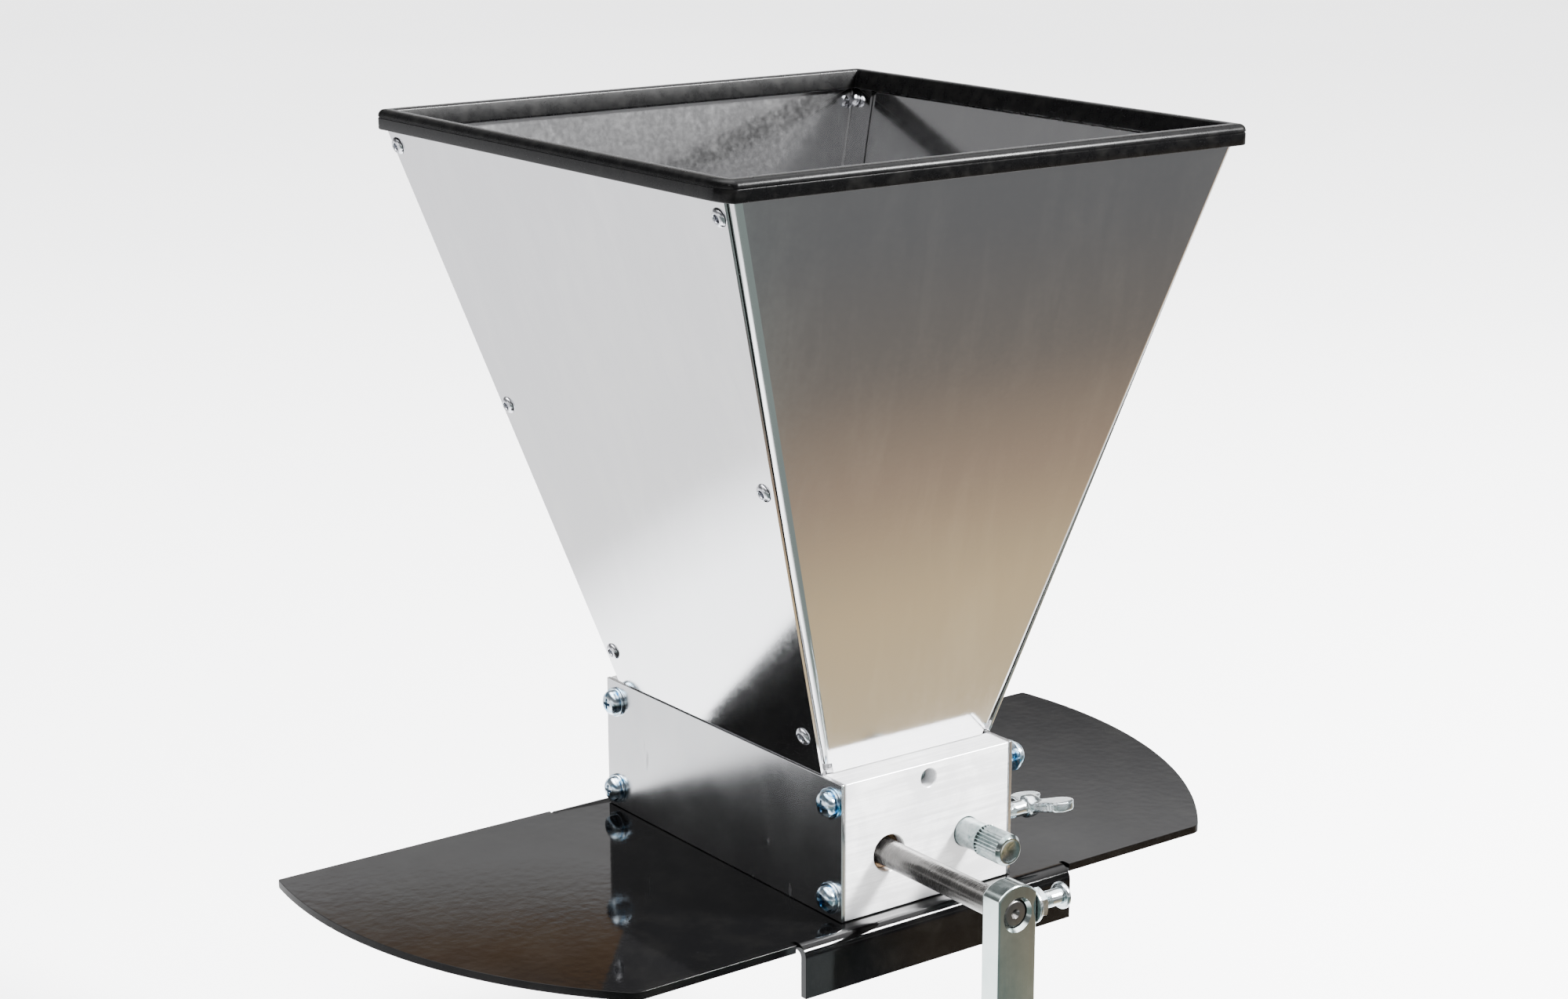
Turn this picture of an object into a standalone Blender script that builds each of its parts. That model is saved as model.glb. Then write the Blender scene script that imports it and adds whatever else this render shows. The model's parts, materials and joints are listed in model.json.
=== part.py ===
"""Hand-cranked two-roller grain mill with a riveted sheet-metal hopper, seated on a bucket rim.

Frame: metres, +Z up. The origin is at the middle of the body, on the plane of the base plate's
underside, which is the plane of the bucket's rim. The rollers lie along Y, the crank is at -Y,
and the wings of the base plate reach out along X.
"""
import math

import bmesh
import bpy
from mathutils import Matrix, Vector

MM = 0.001

# ---- driving dimensions ---------------------------------------------------------------------
GAP = 0.3 * MM                 # left between pieces that rest on each other
RUNNING = 0.1 * MM             # radial running clearance of a shaft in its bush
CLOSE_FIT = 0.15 * MM          # radial clearance of a pin, bush or screw in its hole
SEATED = 0.1 * MM              # air under a tightened screw

BASE_T = 3.0 * MM
BODY_HEIGHT = 52.5 * MM
BODY_LENGTH = 152.4 * MM       # over the outer faces of the end plates
PLATE_T = 12.7 * MM
PLATE_W = 75.6 * MM
SIDE_SHEET = 1.5 * MM

ROLLER_D = 35.0 * MM
ROLLER_LENGTH = 125.4 * MM
ROLLER_SPACING = 36.0 * MM     # between the roller axes, so that the grain gap is 1 mm
ROLLER_AXIS_Z = BASE_T + 22.0 * MM
ROLLER_CHAMFER = 0.8 * MM

SHAFT_R = 5.0 * MM
SHAFT_HOLE_R = 6.9 * MM
BUSH_R = 7.8 * MM
BUSH_LENGTH = 8.5 * MM

KNOB_R = 6.0 * MM
KNOB_LENGTH = 14.6 * MM
COLLAR_R = 5.5 * MM
COLLAR_REACH = 10.2 * MM       # bare collar between the end plate and the knurled knob
ECCENTRIC = 0.6 * MM
ECCENTRIC_R = 4.7 * MM
REAR_JOURNAL_R = 4.1 * MM

ARM_W = 17.0 * MM
ARM_T = 9.0 * MM
ARM_HEAD_R = 10.7 * MM
ARM_FACE_Y = -147.0 * MM       # outer face of the crank arm
CRANK_THROW = 150.0 * MM
ARM_HOLE_R = SHAFT_R + CLOSE_FIT
ARM_CHAMFER_R = 6.3 * MM
ARM_CHAMFER_DEPTH = 1.3 * MM

GRIP_LENGTH = 85.0 * MM
GRIP_R = 14.0 * MM
SPINDLE_R = 4.0 * MM

WING_R = 185.6 * MM            # outer radius of the wings, about the middle of the bucket
BUCKET_Y = 49.4 * MM           # the bucket's middle lies behind the body, so that the crank clears it
WING_HALF_Y = 82.0 * MM
WING_FRONT_CORNER_R = 6.0 * MM
WING_REAR_CORNER_R = 1.2 * MM
FLANGE_HALF_X = 62.0 * MM
FLANGE_DEPTH = 20.0 * MM       # from the top of the base plate down
BEND_R = 5.0 * MM
NOTCH_W = 2.0 * MM
NOTCH_DEPTH = 1.0 * MM
DISCHARGE_HALF = (34.0 * MM, 60.0 * MM)

HOPPER_SHEET = 1.0 * MM
HOPPER_RIM_Z = BASE_T + 276.0 * MM
HOPPER_RIM_HALF = (111.9 * MM, 111.4 * MM)
HOPPER_FOOT_X = 39.2 * MM
HOPPER_FOOT_FRONT = 64.6 * MM
HOPPER_FOOT_REAR = 69.0 * MM
TAB_BOTTOM_Z = BASE_T + 43.5 * MM
CORNER_FLANGE = 13.0 * MM
PANEL_BEND_R = {-1: 3.3 * MM, 1: 2.2 * MM}   # of the front and rear panels
CORNER_FLANGE_BOTTOM_Z = BASE_T + 57.0 * MM
RIVET_HEIGHTS = (67.0 * MM, 166.0 * MM, 265.0 * MM)   # above the base plate
RIVET_INSETS = {-1: (8.4 * MM, 7.6 * MM), 1: (7.0 * MM, 4.4 * MM)}   # lowest and highest, front and rear
RIVET_R = 1.6 * MM
EDGE_INSET_RIM = 3.6 * MM      # the front bend's width beyond the side panel's edge, at the rim
EDGE_INSET_FOOT = 0.8 * MM

TRIM_HEIGHT = 7.4 * MM
TRIM_WALL = 1.6 * MM
TRIM_SWELL = 3.0 * MM          # from the panel's face to the trim's upright outer face, at its lower edge
TRIM_CORNER_R = 4.6 * MM
TRIM_EDGE = 0.7 * MM

SCREW_R = 2.5 * MM
SCREW_HOLE_R = 2.8 * MM
SCREW_HEAD_R = 4.8 * MM
SCREW_HEAD_H = 3.6 * MM
WASHER_R = 5.8 * MM
WASHER_T = 1.0 * MM
SIDE_SCREW_Z = (BASE_T + 8.0 * MM, BASE_T + 44.0 * MM)
SIDE_SCREW_LENGTH = 13.0 * MM
BACKED_OUT = 4.6 * MM          # how far one screw stands proud of its seat
BASE_SCREW_X = 12.0 * MM
BASE_SCREW_LENGTH = BASE_T + 9.5 * MM
BASE_SCREW_HOLE_DEPTH = 10.5 * MM
HOPPER_SCREW_Z = BASE_T + 46.8 * MM
HOPPER_SCREW_R = 2.0 * MM
HOPPER_SCREW_HEAD_R = 3.1 * MM
HOPPER_SCREW_SEAT = 7.0 * MM   # depth of the counterbore
HOPPER_SCREW_REACH = 11.0 * MM
HOPPER_NUT = (7.0 * MM, 3.2 * MM)   # across flats, height

WING_SCREW_R = 3.0 * MM
WING_STEM_END = 51.0 * MM      # where the stem meets the boss
WING_BOSS_LENGTH = 7.0 * MM
WING_BOSS_R = 4.4 * MM
WING_LOBE_R = 5.8 * MM
WING_LOBE_REACH = 9.5 * MM     # from the end of the stem to the lobes' middles, along and across
WING_LOBE_T = 3.6 * MM
WING_TURN = 10.0               # degrees that the wings stand from level

CLAMP_R = 3.0 * MM
CLAMP_WASHER_R = 6.6 * MM
CLAMP_WASHER_T = 1.2 * MM
CLAMP_NUT = (10.0 * MM, 3.2 * MM)   # across flats, height
CLAMP_HEAD_R = 4.8 * MM
CLAMP_HEAD_REACH = 22.6 * MM   # from the shaft's axis to the near face of the head
SPINDLE_WASHER_R = 8.0 * MM
SPINDLE_WASHER_T = 1.4 * MM
SPINDLE_NUT = (13.0 * MM, 6.3 * MM)   # across flats, height

# ---- derived places -------------------------------------------------------------------------
BODY_TOP_Z = BASE_T + BODY_HEIGHT
BODY_BOTTOM_Z = BASE_T + GAP
PLATE_OUTER_Y = BODY_LENGTH / 2
PLATE_INNER_Y = PLATE_OUTER_Y - PLATE_T
PLATE_MID_Y = PLATE_OUTER_Y - PLATE_T / 2
SIDE_INNER_X = PLATE_W / 2 + GAP
SIDE_OUTER_X = SIDE_INNER_X + SIDE_SHEET
DRIVE_X = -ROLLER_SPACING / 2
IDLER_X = ROLLER_SPACING / 2
IDLER_Z = ROLLER_AXIS_Z + ECCENTRIC
HOPPER_FOOT_Z = BODY_TOP_Z + 0.4 * MM
ARM_BACK_Y = ARM_FACE_Y + ARM_T
ARM_MID_Y = ARM_FACE_Y + ARM_T / 2
GRIP_Z = ROLLER_AXIS_Z - CRANK_THROW
SIDE_SLOPE = math.atan2(HOPPER_RIM_HALF[0] - HOPPER_FOOT_X, HOPPER_RIM_Z - HOPPER_FOOT_Z)
LAP = (HOPPER_SHEET + GAP) / math.cos(SIDE_SLOPE)   # level distance from a side panel's face to the flange

ALONG_Y = Matrix.Rotation(math.radians(-90), 4, "X")     # turns +Z to +Y
ALONG_MINUS_Y = Matrix.Rotation(math.radians(90), 4, "X")
ALONG_X = Matrix.Rotation(math.radians(90), 4, "Y")      # turns +Z to +X
ALONG_MINUS_X = Matrix.Rotation(math.radians(-90), 4, "Y")
UPRIGHT = Matrix.Identity(4)
UPSIDE_DOWN = Matrix.Rotation(math.radians(180), 4, "X")


# ---- scene, collections and materials -------------------------------------------------------
def clear_scene():
    for old in list(bpy.data.objects):
        bpy.data.objects.remove(old, do_unlink=True)


def new_collection(name):
    collection = bpy.data.collections.new(name)
    bpy.context.scene.collection.children.link(collection)
    return collection


def make_material(name, colour, roughness, metallic):
    material = bpy.data.materials.new(name)
    material.use_nodes = True
    shader = material.node_tree.nodes["Principled BSDF"]
    shader.inputs["Base Color"].default_value = (*colour, 1.0)
    shader.inputs["Roughness"].default_value = roughness
    shader.inputs["Metallic"].default_value = metallic
    return material


clear_scene()
MILL = new_collection("grain_mill")
CUTTERS = new_collection("cutters")

HOPPER_STEEL = make_material("hopper_steel", (0.62, 0.61, 0.60), 0.32, 1.0)
PLATE_ALUMINIUM = make_material("plate_aluminium", (0.82, 0.82, 0.83), 0.35, 1.0)
PANEL_STEEL = make_material("panel_steel", (0.70, 0.71, 0.72), 0.22, 1.0)
BLACK_PAINT = make_material("black_paint", (0.02, 0.02, 0.022), 0.15, 0.0)
ROLLER_STEEL = make_material("roller_steel", (0.45, 0.45, 0.46), 0.40, 1.0)
GROUND_STEEL = make_material("ground_steel", (0.60, 0.60, 0.60), 0.25, 1.0)
ZINC = make_material("zinc", (0.72, 0.75, 0.78), 0.22, 1.0)
CRANK_STEEL = make_material("crank_steel", (0.55, 0.58, 0.56), 0.20, 1.0)
BRONZE = make_material("bronze", (0.60, 0.42, 0.20), 0.40, 1.0)
BLACK_RUBBER = make_material("black_rubber", (0.03, 0.03, 0.03), 0.60, 0.0)
GRIP_PLASTIC = make_material("grip_plastic", (0.025, 0.025, 0.027), 0.45, 0.0)
RIVET_ALUMINIUM = make_material("rivet_aluminium", (0.75, 0.75, 0.76), 0.35, 1.0)


# ---- building blocks ------------------------------------------------------------------------
def add_object(name, mesh, place, turn=UPRIGHT, material=None):
    """Link a mesh as a part, or as a cutter where it has no material."""
    obj = bpy.data.objects.new(name, mesh)
    obj.matrix_world = Matrix.Translation(place) @ turn
    if material:
        mesh.materials.append(material)
        MILL.objects.link(obj)
    else:
        CUTTERS.objects.link(obj)
        obj.hide_render = True
        obj.display_type = "WIRE"
    return obj


def boolean(obj, other, operation):
    modifier = obj.modifiers.new(operation.lower() + "_" + other.name, "BOOLEAN")
    modifier.operation = operation
    modifier.object = other
    modifier.solver = "EXACT"


def cut(obj, *cutters):
    for cutter in cutters:
        boolean(obj, cutter, "DIFFERENCE")


def join(obj, *others):
    for other in others:
        boolean(obj, other, "UNION")


def round_edges(obj, width, segments=2, angle=40):
    bevel = obj.modifiers.new("round_edges", "BEVEL")
    bevel.width = width
    bevel.segments = segments
    bevel.limit_method = "ANGLE"
    bevel.angle_limit = math.radians(angle)


def block(name, low, high, material=None):
    """A box between two corners, with its origin at its middle."""
    low, high = Vector(low), Vector(high)
    mesh = bpy.data.meshes.new(name)
    bm = bmesh.new()
    bmesh.ops.create_cube(bm, size=1.0, matrix=Matrix.Diagonal((*(high - low), 1.0)))
    bm.to_mesh(mesh)
    bm.free()
    return add_object(name, mesh, (low + high) / 2, material=material)


def turned(name, profile, place, turn, material=None, segments=24, closed=False):
    """Spin (radius, height) points about the local Z axis. The profile runs down its outer side."""
    mesh = bpy.data.meshes.new(name)
    edges = [(i, i + 1) for i in range(len(profile) - 1)]
    if closed:
        edges.append((len(profile) - 1, 0))
    mesh.from_pydata([(radius, 0.0, height) for radius, height in profile], edges, [])
    obj = add_object(name, mesh, place, turn, material)
    screw = obj.modifiers.new("spin", "SCREW")
    screw.axis = "Z"
    screw.angle = math.tau
    screw.steps = segments
    screw.render_steps = segments
    screw.use_merge_vertices = True
    screw.merge_threshold = 0.00001
    screw.use_smooth_shade = True
    return obj


def rod(radius, bottom, top, chamfer=0.0):
    """Profile of a plain pin from bottom to top."""
    if not chamfer:
        return [(0.0, top), (radius, top), (radius, bottom), (0.0, bottom)]
    return [(0.0, top), (radius - chamfer, top), (radius, top - chamfer),
            (radius, bottom + chamfer), (radius - chamfer, bottom), (0.0, bottom)]


def tube(outer, inner, bottom, top, chamfer):
    """Closed profile of a tube, chamfered on its outer edges."""
    return [(outer - chamfer, top), (outer, top - chamfer), (outer, bottom + chamfer),
            (outer - chamfer, bottom), (inner, bottom), (inner, top)]


def arc(centre, radius, start, end, steps):
    """Points on an arc, with its angles in degrees."""
    angles = [math.radians(start + (end - start) * i / steps) for i in range(steps + 1)]
    return [(centre[0] + radius * math.cos(a), centre[1] + radius * math.sin(a)) for a in angles]


def lobe_outline(root, root_r, tip, tip_r, steps=10):
    """Outline that wraps a small circle and a larger one, counterclockwise."""
    across, up = tip[0] - root[0], tip[1] - root[1]
    heading = math.degrees(math.atan2(up, across))
    lean = math.degrees(math.asin((tip_r - root_r) / math.hypot(across, up)))
    return (arc(tip, tip_r, heading - 90 - lean, heading + 90 + lean, steps)
            + arc(root, root_r, heading + 90 + lean, heading + 270 - lean, steps))


def flat_plate(name, outline, thickness, place, turn, material=None):
    """A flat outline in local XY, thickened evenly about its plane."""
    curve = bpy.data.curves.new(name, "CURVE")
    curve.dimensions = "2D"
    curve.fill_mode = "BOTH"
    curve.extrude = thickness / 2
    spline = curve.splines.new("POLY")
    spline.points.add(len(outline) - 1)
    for point, (x, y) in zip(spline.points, outline):
        point.co = (x, y, 0.0, 1.0)
    spline.use_cyclic_u = True
    guide = bpy.data.objects.new(name + "_outline", curve)
    CUTTERS.objects.link(guide)
    bpy.context.view_layer.update()
    depsgraph = bpy.context.evaluated_depsgraph_get()
    mesh = bpy.data.meshes.new_from_object(guide.evaluated_get(depsgraph))
    bpy.data.objects.remove(guide, do_unlink=True)
    bm = bmesh.new()
    bm.from_mesh(mesh)
    bmesh.ops.remove_doubles(bm, verts=bm.verts, dist=0.00001)
    bm.to_mesh(mesh)
    bm.free()
    mesh.name = name
    mesh.materials.clear()
    return add_object(name, mesh, place, turn, material)


def thicken(obj, thickness):
    """Give an open surface an even thickness behind its faces."""
    solidify = obj.modifiers.new("thickness", "SOLIDIFY")
    solidify.solidify_mode = "NON_MANIFOLD"
    solidify.nonmanifold_thickness_mode = "CONSTRAINTS"
    solidify.nonmanifold_merge_threshold = 0.00001
    solidify.thickness = thickness
    solidify.offset = -1.0


def sheet(name, strips, thickness, material):
    """Bent sheet metal. Each strip is a grid of points on the sheet's outer face."""
    mesh = bpy.data.meshes.new(name)
    bm = bmesh.new()
    for rows in strips:
        grid = [[bm.verts.new(point) for point in row] for row in rows]
        for upper, lower in zip(grid, grid[1:]):
            for i in range(len(upper) - 1):
                bm.faces.new((upper[i], lower[i], lower[i + 1], upper[i + 1]))
    bmesh.ops.remove_doubles(bm, verts=bm.verts, dist=0.00001)
    bm.to_mesh(mesh)
    bm.free()
    obj = add_object(name, mesh, (0.0, 0.0, 0.0), material=material)
    thicken(obj, thickness)
    return obj


# ---- fasteners ------------------------------------------------------------------------------
def pan_head_screw(name, place, turn, length):
    """Pan head on a captive washer. Local Z points out of the head, from the washer's seat."""
    head_top = WASHER_T + SCREW_HEAD_H
    profile = [(0.0, head_top), (0.55 * SCREW_HEAD_R, head_top - 0.04 * SCREW_HEAD_H),
               (0.86 * SCREW_HEAD_R, head_top - 0.30 * SCREW_HEAD_H),
               (SCREW_HEAD_R, head_top - 0.62 * SCREW_HEAD_H),
               (SCREW_HEAD_R, WASHER_T), (WASHER_R, WASHER_T), (WASHER_R, 0.0),
               (SCREW_R, 0.0), (SCREW_R, 0.6 * MM - length),
               (SCREW_R - 0.6 * MM, -length), (0.0, -length)]
    return turned(name, profile, place, turn, ZINC, segments=14)


def hex_nut(name, place, turn, across_flats, height, hole_radius, material):
    """Hexagon nut from local z = 0 up."""
    mesh = bpy.data.meshes.new(name)
    bm = bmesh.new()
    corner = across_flats / math.sqrt(3)
    bmesh.ops.create_cone(bm, cap_ends=True, segments=6, radius1=corner, radius2=corner, depth=height,
                          matrix=Matrix.Translation((0.0, 0.0, height / 2)))
    bm.to_mesh(mesh)
    bm.free()
    nut = add_object(name, mesh, place, turn, material)
    hole = turned(name + "_hole", rod(hole_radius, -height, 2 * height), place, turn, segments=16)
    cut(nut, hole)
    return nut


def flat_washer(name, place, turn, outer, inner, thickness, material):
    """Washer from local z = 0 up."""
    return turned(name, tube(outer, inner, 0.0, thickness, 0.15 * MM), place, turn, material, closed=True)


# ---- body -----------------------------------------------------------------------------------
def side_screw_places():
    """(name, side, end, height) of the screws that hold the side panels to the end plates."""
    for side_name, side in (("left", -1), ("right", 1)):
        for end_name, end in (("front", -1), ("rear", 1)):
            for level_name, z in zip(("lower", "upper"), SIDE_SCREW_Z):
                yield f"{side_name}_{end_name}_{level_name}", side, end, z


def wing_corner(end, radius):
    """Middle of the round between a wing's straight edge and its arc, and where it meets the arc."""
    y = end * (WING_HALF_Y - radius)
    x = math.sqrt((WING_R - radius) ** 2 - (y - BUCKET_Y) ** 2)
    return (x, y), math.degrees(math.atan2(y - BUCKET_Y, x))


def base_outline_half():
    """Right half of the base plate's flat outline, front to rear, counterclockwise."""
    bend_y = WING_HALF_Y + BASE_T - BEND_R
    notch_out = FLANGE_HALF_X + NOTCH_W
    notch_floor_y = bend_y - NOTCH_DEPTH
    notch_middle = FLANGE_HALF_X + NOTCH_W / 2
    front_notch = arc((notch_middle, -notch_floor_y), NOTCH_W / 2, 180, 0, 4)
    rear_notch = arc((notch_middle, notch_floor_y), NOTCH_W / 2, 0, -180, 4)
    front_centre, front_angle = wing_corner(-1, WING_FRONT_CORNER_R)
    rear_centre, rear_angle = wing_corner(1, WING_REAR_CORNER_R)
    front_corner = arc(front_centre, WING_FRONT_CORNER_R, -90, front_angle, 4)[:-1]
    rear_corner = arc(rear_centre, WING_REAR_CORNER_R, rear_angle, 90, 4)[1:]
    rim = arc((0.0, BUCKET_Y), WING_R, front_angle, rear_angle, 36)
    return ([(FLANGE_HALF_X, -bend_y)] + front_notch + [(notch_out, -WING_HALF_Y)] + front_corner
            + rim + rear_corner + [(notch_out, WING_HALF_Y)] + rear_notch + [(FLANGE_HALF_X, bend_y)])


def base_plate():
    """Flat plate with a flange bent down at the front and rear edges, between the wings."""
    half = base_outline_half()
    outline = half + [(-x, y) for x, y in reversed(half)]
    bend_y = WING_HALF_Y + BASE_T - BEND_R
    mesh = bpy.data.meshes.new("base_plate")
    bm = bmesh.new()
    bm.faces.new([bm.verts.new((x, y, BASE_T)) for x, y in outline])
    bm.normal_update()
    section = [(bend_y, BASE_T)]
    for y, z in arc((bend_y, BASE_T - BEND_R), BEND_R, 90, 0, 6)[1:]:
        section.append((y, z))
    section.append((bend_y + BEND_R, BASE_T - FLANGE_DEPTH))
    for end in (-1, 1):
        left = [bm.verts.new((-FLANGE_HALF_X, end * y, z)) for y, z in section]
        right = [bm.verts.new((FLANGE_HALF_X, end * y, z)) for y, z in section]
        for i in range(len(section) - 1):
            face = (left[i], left[i + 1], right[i + 1], right[i])
            bm.faces.new(face if end < 0 else tuple(reversed(face)))
    bmesh.ops.remove_doubles(bm, verts=bm.verts, dist=0.00001)
    bm.to_mesh(mesh)
    bm.free()
    plate = add_object("base_plate", mesh, (0.0, 0.0, 0.0), material=BLACK_PAINT)
    thicken(plate, BASE_T)
    half_x, half_y = DISCHARGE_HALF
    opening = block("discharge_cutter", (-half_x, -half_y, -BASE_T), (half_x, half_y, 2 * BASE_T))
    cut(plate, opening)
    for name, x, y in base_screw_places():
        hole = turned(f"base_hole_{name}", rod(SCREW_HOLE_R, -BASE_T, 2 * BASE_T), (x, y, 0.0), UPRIGHT,
                      segments=16)
        cut(plate, hole)
    return plate


def base_screw_places():
    """(name, x, y) of the screws that hold the end plates to the base plate."""
    for end_name, end in (("front", -1), ("rear", 1)):
        for side_name, side in (("left", -1), ("right", 1)):
            yield f"{end_name}_{side_name}", side * BASE_SCREW_X, end * PLATE_MID_Y


def end_plate(name, end, adjuster_hole_r):
    """Machined end plate. end is -1 at the front and 1 at the rear."""
    outward = ALONG_MINUS_Y if end < 0 else ALONG_Y
    inner_y = end * PLATE_INNER_Y
    outer_y = end * PLATE_OUTER_Y
    plate = block(name, (-PLATE_W / 2, min(inner_y, outer_y), BODY_BOTTOM_Z),
                  (PLATE_W / 2, max(inner_y, outer_y), BODY_TOP_Z), PLATE_ALUMINIUM)
    round_edges(plate, 0.4 * MM, segments=1)
    bush_seat = BUSH_LENGTH + GAP
    drive_bore = turned(f"{name}_drive_bore", [
        (0.0, PLATE_T + MM), (SHAFT_HOLE_R, PLATE_T + MM), (SHAFT_HOLE_R, bush_seat),
        (BUSH_R + CLOSE_FIT, bush_seat), (BUSH_R + CLOSE_FIT, -MM), (0.0, -MM)],
        (DRIVE_X, inner_y, ROLLER_AXIS_Z), outward)
    adjuster_bore = turned(f"{name}_adjuster_bore", rod(adjuster_hole_r, -MM, PLATE_T + MM),
                           (IDLER_X, inner_y, ROLLER_AXIS_Z), outward)
    seat = PLATE_T - HOPPER_SCREW_SEAT
    hopper_bore = turned(f"{name}_hopper_bore", [
        (0.0, PLATE_T + MM), (HOPPER_SCREW_HEAD_R + 0.4 * MM, PLATE_T + MM),
        (HOPPER_SCREW_HEAD_R + 0.4 * MM, seat), (HOPPER_SCREW_R + GAP, seat),
        (HOPPER_SCREW_R + GAP, -MM), (0.0, -MM)], (0.0, inner_y, HOPPER_SCREW_Z), outward, segments=16)
    cut(plate, drive_bore, adjuster_bore, hopper_bore)
    depth = SIDE_SCREW_LENGTH
    for side_name, side in (("left", -1), ("right", 1)):
        sideways = ALONG_MINUS_X if side < 0 else ALONG_X
        for level, z in enumerate(SIDE_SCREW_Z):
            hole = turned(f"{name}_{side_name}_hole_{level}", rod(SCREW_HOLE_R, -depth, MM),
                          (side * PLATE_W / 2, end * PLATE_MID_Y, z), sideways, segments=16)
            cut(plate, hole)
        hole = turned(f"{name}_base_hole_{side_name}", rod(SCREW_HOLE_R, -MM, BASE_SCREW_HOLE_DEPTH),
                      (side * BASE_SCREW_X, end * PLATE_MID_Y, BODY_BOTTOM_Z), UPRIGHT, segments=16)
        cut(plate, hole)
    return plate


def body():
    base_plate()
    front = end_plate("front_end_plate", -1, COLLAR_R + RUNNING)
    end_plate("rear_end_plate", 1, REAR_JOURNAL_R + RUNNING)
    lock_place = (IDLER_X, -PLATE_MID_Y, ROLLER_AXIS_Z)
    lock_hole = turned("lock_hole", rod(WING_SCREW_R + GAP, COLLAR_R / 2, PLATE_W), lock_place, ALONG_X,
                       segments=16)
    cut(front, lock_hole)
    for side_name, side in (("left", -1), ("right", 1)):
        x_pair = sorted((side * SIDE_INNER_X, side * SIDE_OUTER_X))
        panel = block(f"{side_name}_side_panel", (x_pair[0], -PLATE_OUTER_Y, BODY_BOTTOM_Z),
                      (x_pair[1], PLATE_OUTER_Y, BODY_TOP_Z), PANEL_STEEL)
        for name, panel_side, end, z in side_screw_places():
            if panel_side == side:
                hole = turned(f"panel_hole_{name}", rod(SCREW_HOLE_R, -SIDE_SHEET, 2 * SIDE_SHEET),
                              (side * SIDE_INNER_X, end * PLATE_MID_Y, z),
                              ALONG_MINUS_X if side < 0 else ALONG_X, segments=16)
                cut(panel, hole)
        if side > 0:
            cut(panel, lock_hole)
    for name, side, end, z in side_screw_places():
        proud = BACKED_OUT if name == "right_front_upper" else SEATED
        pan_head_screw(f"side_screw_{name}", (side * (SIDE_OUTER_X + proud), end * PLATE_MID_Y, z),
                       ALONG_MINUS_X if side < 0 else ALONG_X, SIDE_SCREW_LENGTH + SIDE_SHEET - GAP)
    for name, x, y in base_screw_places():
        pan_head_screw(f"base_screw_{name}", (x, y, -SEATED), UPSIDE_DOWN, BASE_SCREW_LENGTH)


# ---- hopper ---------------------------------------------------------------------------------
def hopper_half_x(z):
    """Distance from the middle plane to the outer face of the left and right panels."""
    share = (z - HOPPER_FOOT_Z) / (HOPPER_RIM_Z - HOPPER_FOOT_Z)
    return HOPPER_FOOT_X + share * (HOPPER_RIM_HALF[0] - HOPPER_FOOT_X)


def hopper_half_y(z, end):
    """Distance from the middle plane to the outer face of the front or rear panel."""
    foot = HOPPER_FOOT_FRONT if end < 0 else HOPPER_FOOT_REAR
    share = (z - HOPPER_FOOT_Z) / (HOPPER_RIM_Z - HOPPER_FOOT_Z)
    return foot + share * (HOPPER_RIM_HALF[1] - foot)


def rivet_places():
    """(name, side, end, outer point on the side panel)."""
    for side_name, side in (("left", -1), ("right", 1)):
        for end_name, end in (("front", -1), ("rear", 1)):
            lowest, highest = RIVET_INSETS[end]
            for number, height in enumerate(RIVET_HEIGHTS, start=1):
                z = BASE_T + height
                share = (height - RIVET_HEIGHTS[0]) / (RIVET_HEIGHTS[-1] - RIVET_HEIGHTS[0])
                inset = lowest + share * (highest - lowest)
                point = (side * hopper_half_x(z), end * (hopper_half_y(z, end) - inset), z)
                yield f"{side_name}_{end_name}_{number}", side, end, point


def hopper_end_panel(name, end):
    """Front or rear panel, with a flange lapped behind each side panel and a tab into the body."""
    tab_y = PLATE_INNER_Y - GAP
    levels = (HOPPER_RIM_Z, CORNER_FLANGE_BOTTOM_Z)
    bend_r = PANEL_BEND_R[end]

    def face_row(z):
        half = hopper_half_x(z) - LAP - bend_r
        y = hopper_half_y(z, end)
        return [(-half, end * y, z), (half, end * y, z)]

    def bent_edge(side, z):
        """From the face round the bend and back along the flange."""
        x = hopper_half_x(z) - LAP
        y = hopper_half_y(z, end)
        bend = arc((x - bend_r, y - bend_r), bend_r, 90, 0, 4)
        return [(side * px, end * py, z) for px, py in bend + [(x, y - CORNER_FLANGE)]]

    tab_half = SIDE_INNER_X - HOPPER_SHEET - 3 * GAP
    face = [face_row(z) for z in (*levels, HOPPER_FOOT_Z)]
    face += [[(-tab_half, end * tab_y, z), (tab_half, end * tab_y, z)] for z in (HOPPER_FOOT_Z, TAB_BOTTOM_Z)]
    left, right = ([bent_edge(side, z) for z in levels] for side in (-1, 1))
    strips = [face, [row[::-1] for row in left], right]
    if end > 0:
        strips = [[row[::-1] for row in strip] for strip in strips]
    panel = sheet(name, strips, HOPPER_SHEET, HOPPER_STEEL)
    hole = turned(f"{name}_screw_hole", rod(HOPPER_SCREW_R + GAP, -3 * MM, 3 * MM),
                  (0.0, end * tab_y, HOPPER_SCREW_Z), ALONG_Y, segments=16)
    cut(panel, hole)
    return panel


def hopper_side_panel(name, side):
    """Left or right panel, flat, with a tab that drops inside the body's side panel."""
    tab_x = SIDE_INNER_X - GAP
    tab_half_y = PLATE_INNER_Y - HOPPER_SHEET - 3 * GAP

    def row(z, inset):
        x = side * hopper_half_x(z)
        front = -hopper_half_y(z, -1) + inset
        rear = hopper_half_y(z, 1) - EDGE_INSET_FOOT
        return [(x, front, z), (x, rear, z)]

    rows = [row(HOPPER_RIM_Z, EDGE_INSET_RIM), row(HOPPER_FOOT_Z, EDGE_INSET_FOOT)]
    for z in (HOPPER_FOOT_Z, TAB_BOTTOM_Z):
        rows.append([(side * tab_x, -tab_half_y, z), (side * tab_x, tab_half_y, z)])
    if side < 0:
        rows = [list(reversed(r)) for r in rows]
    return sheet(name, [rows], HOPPER_SHEET, HOPPER_STEEL)


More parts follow.
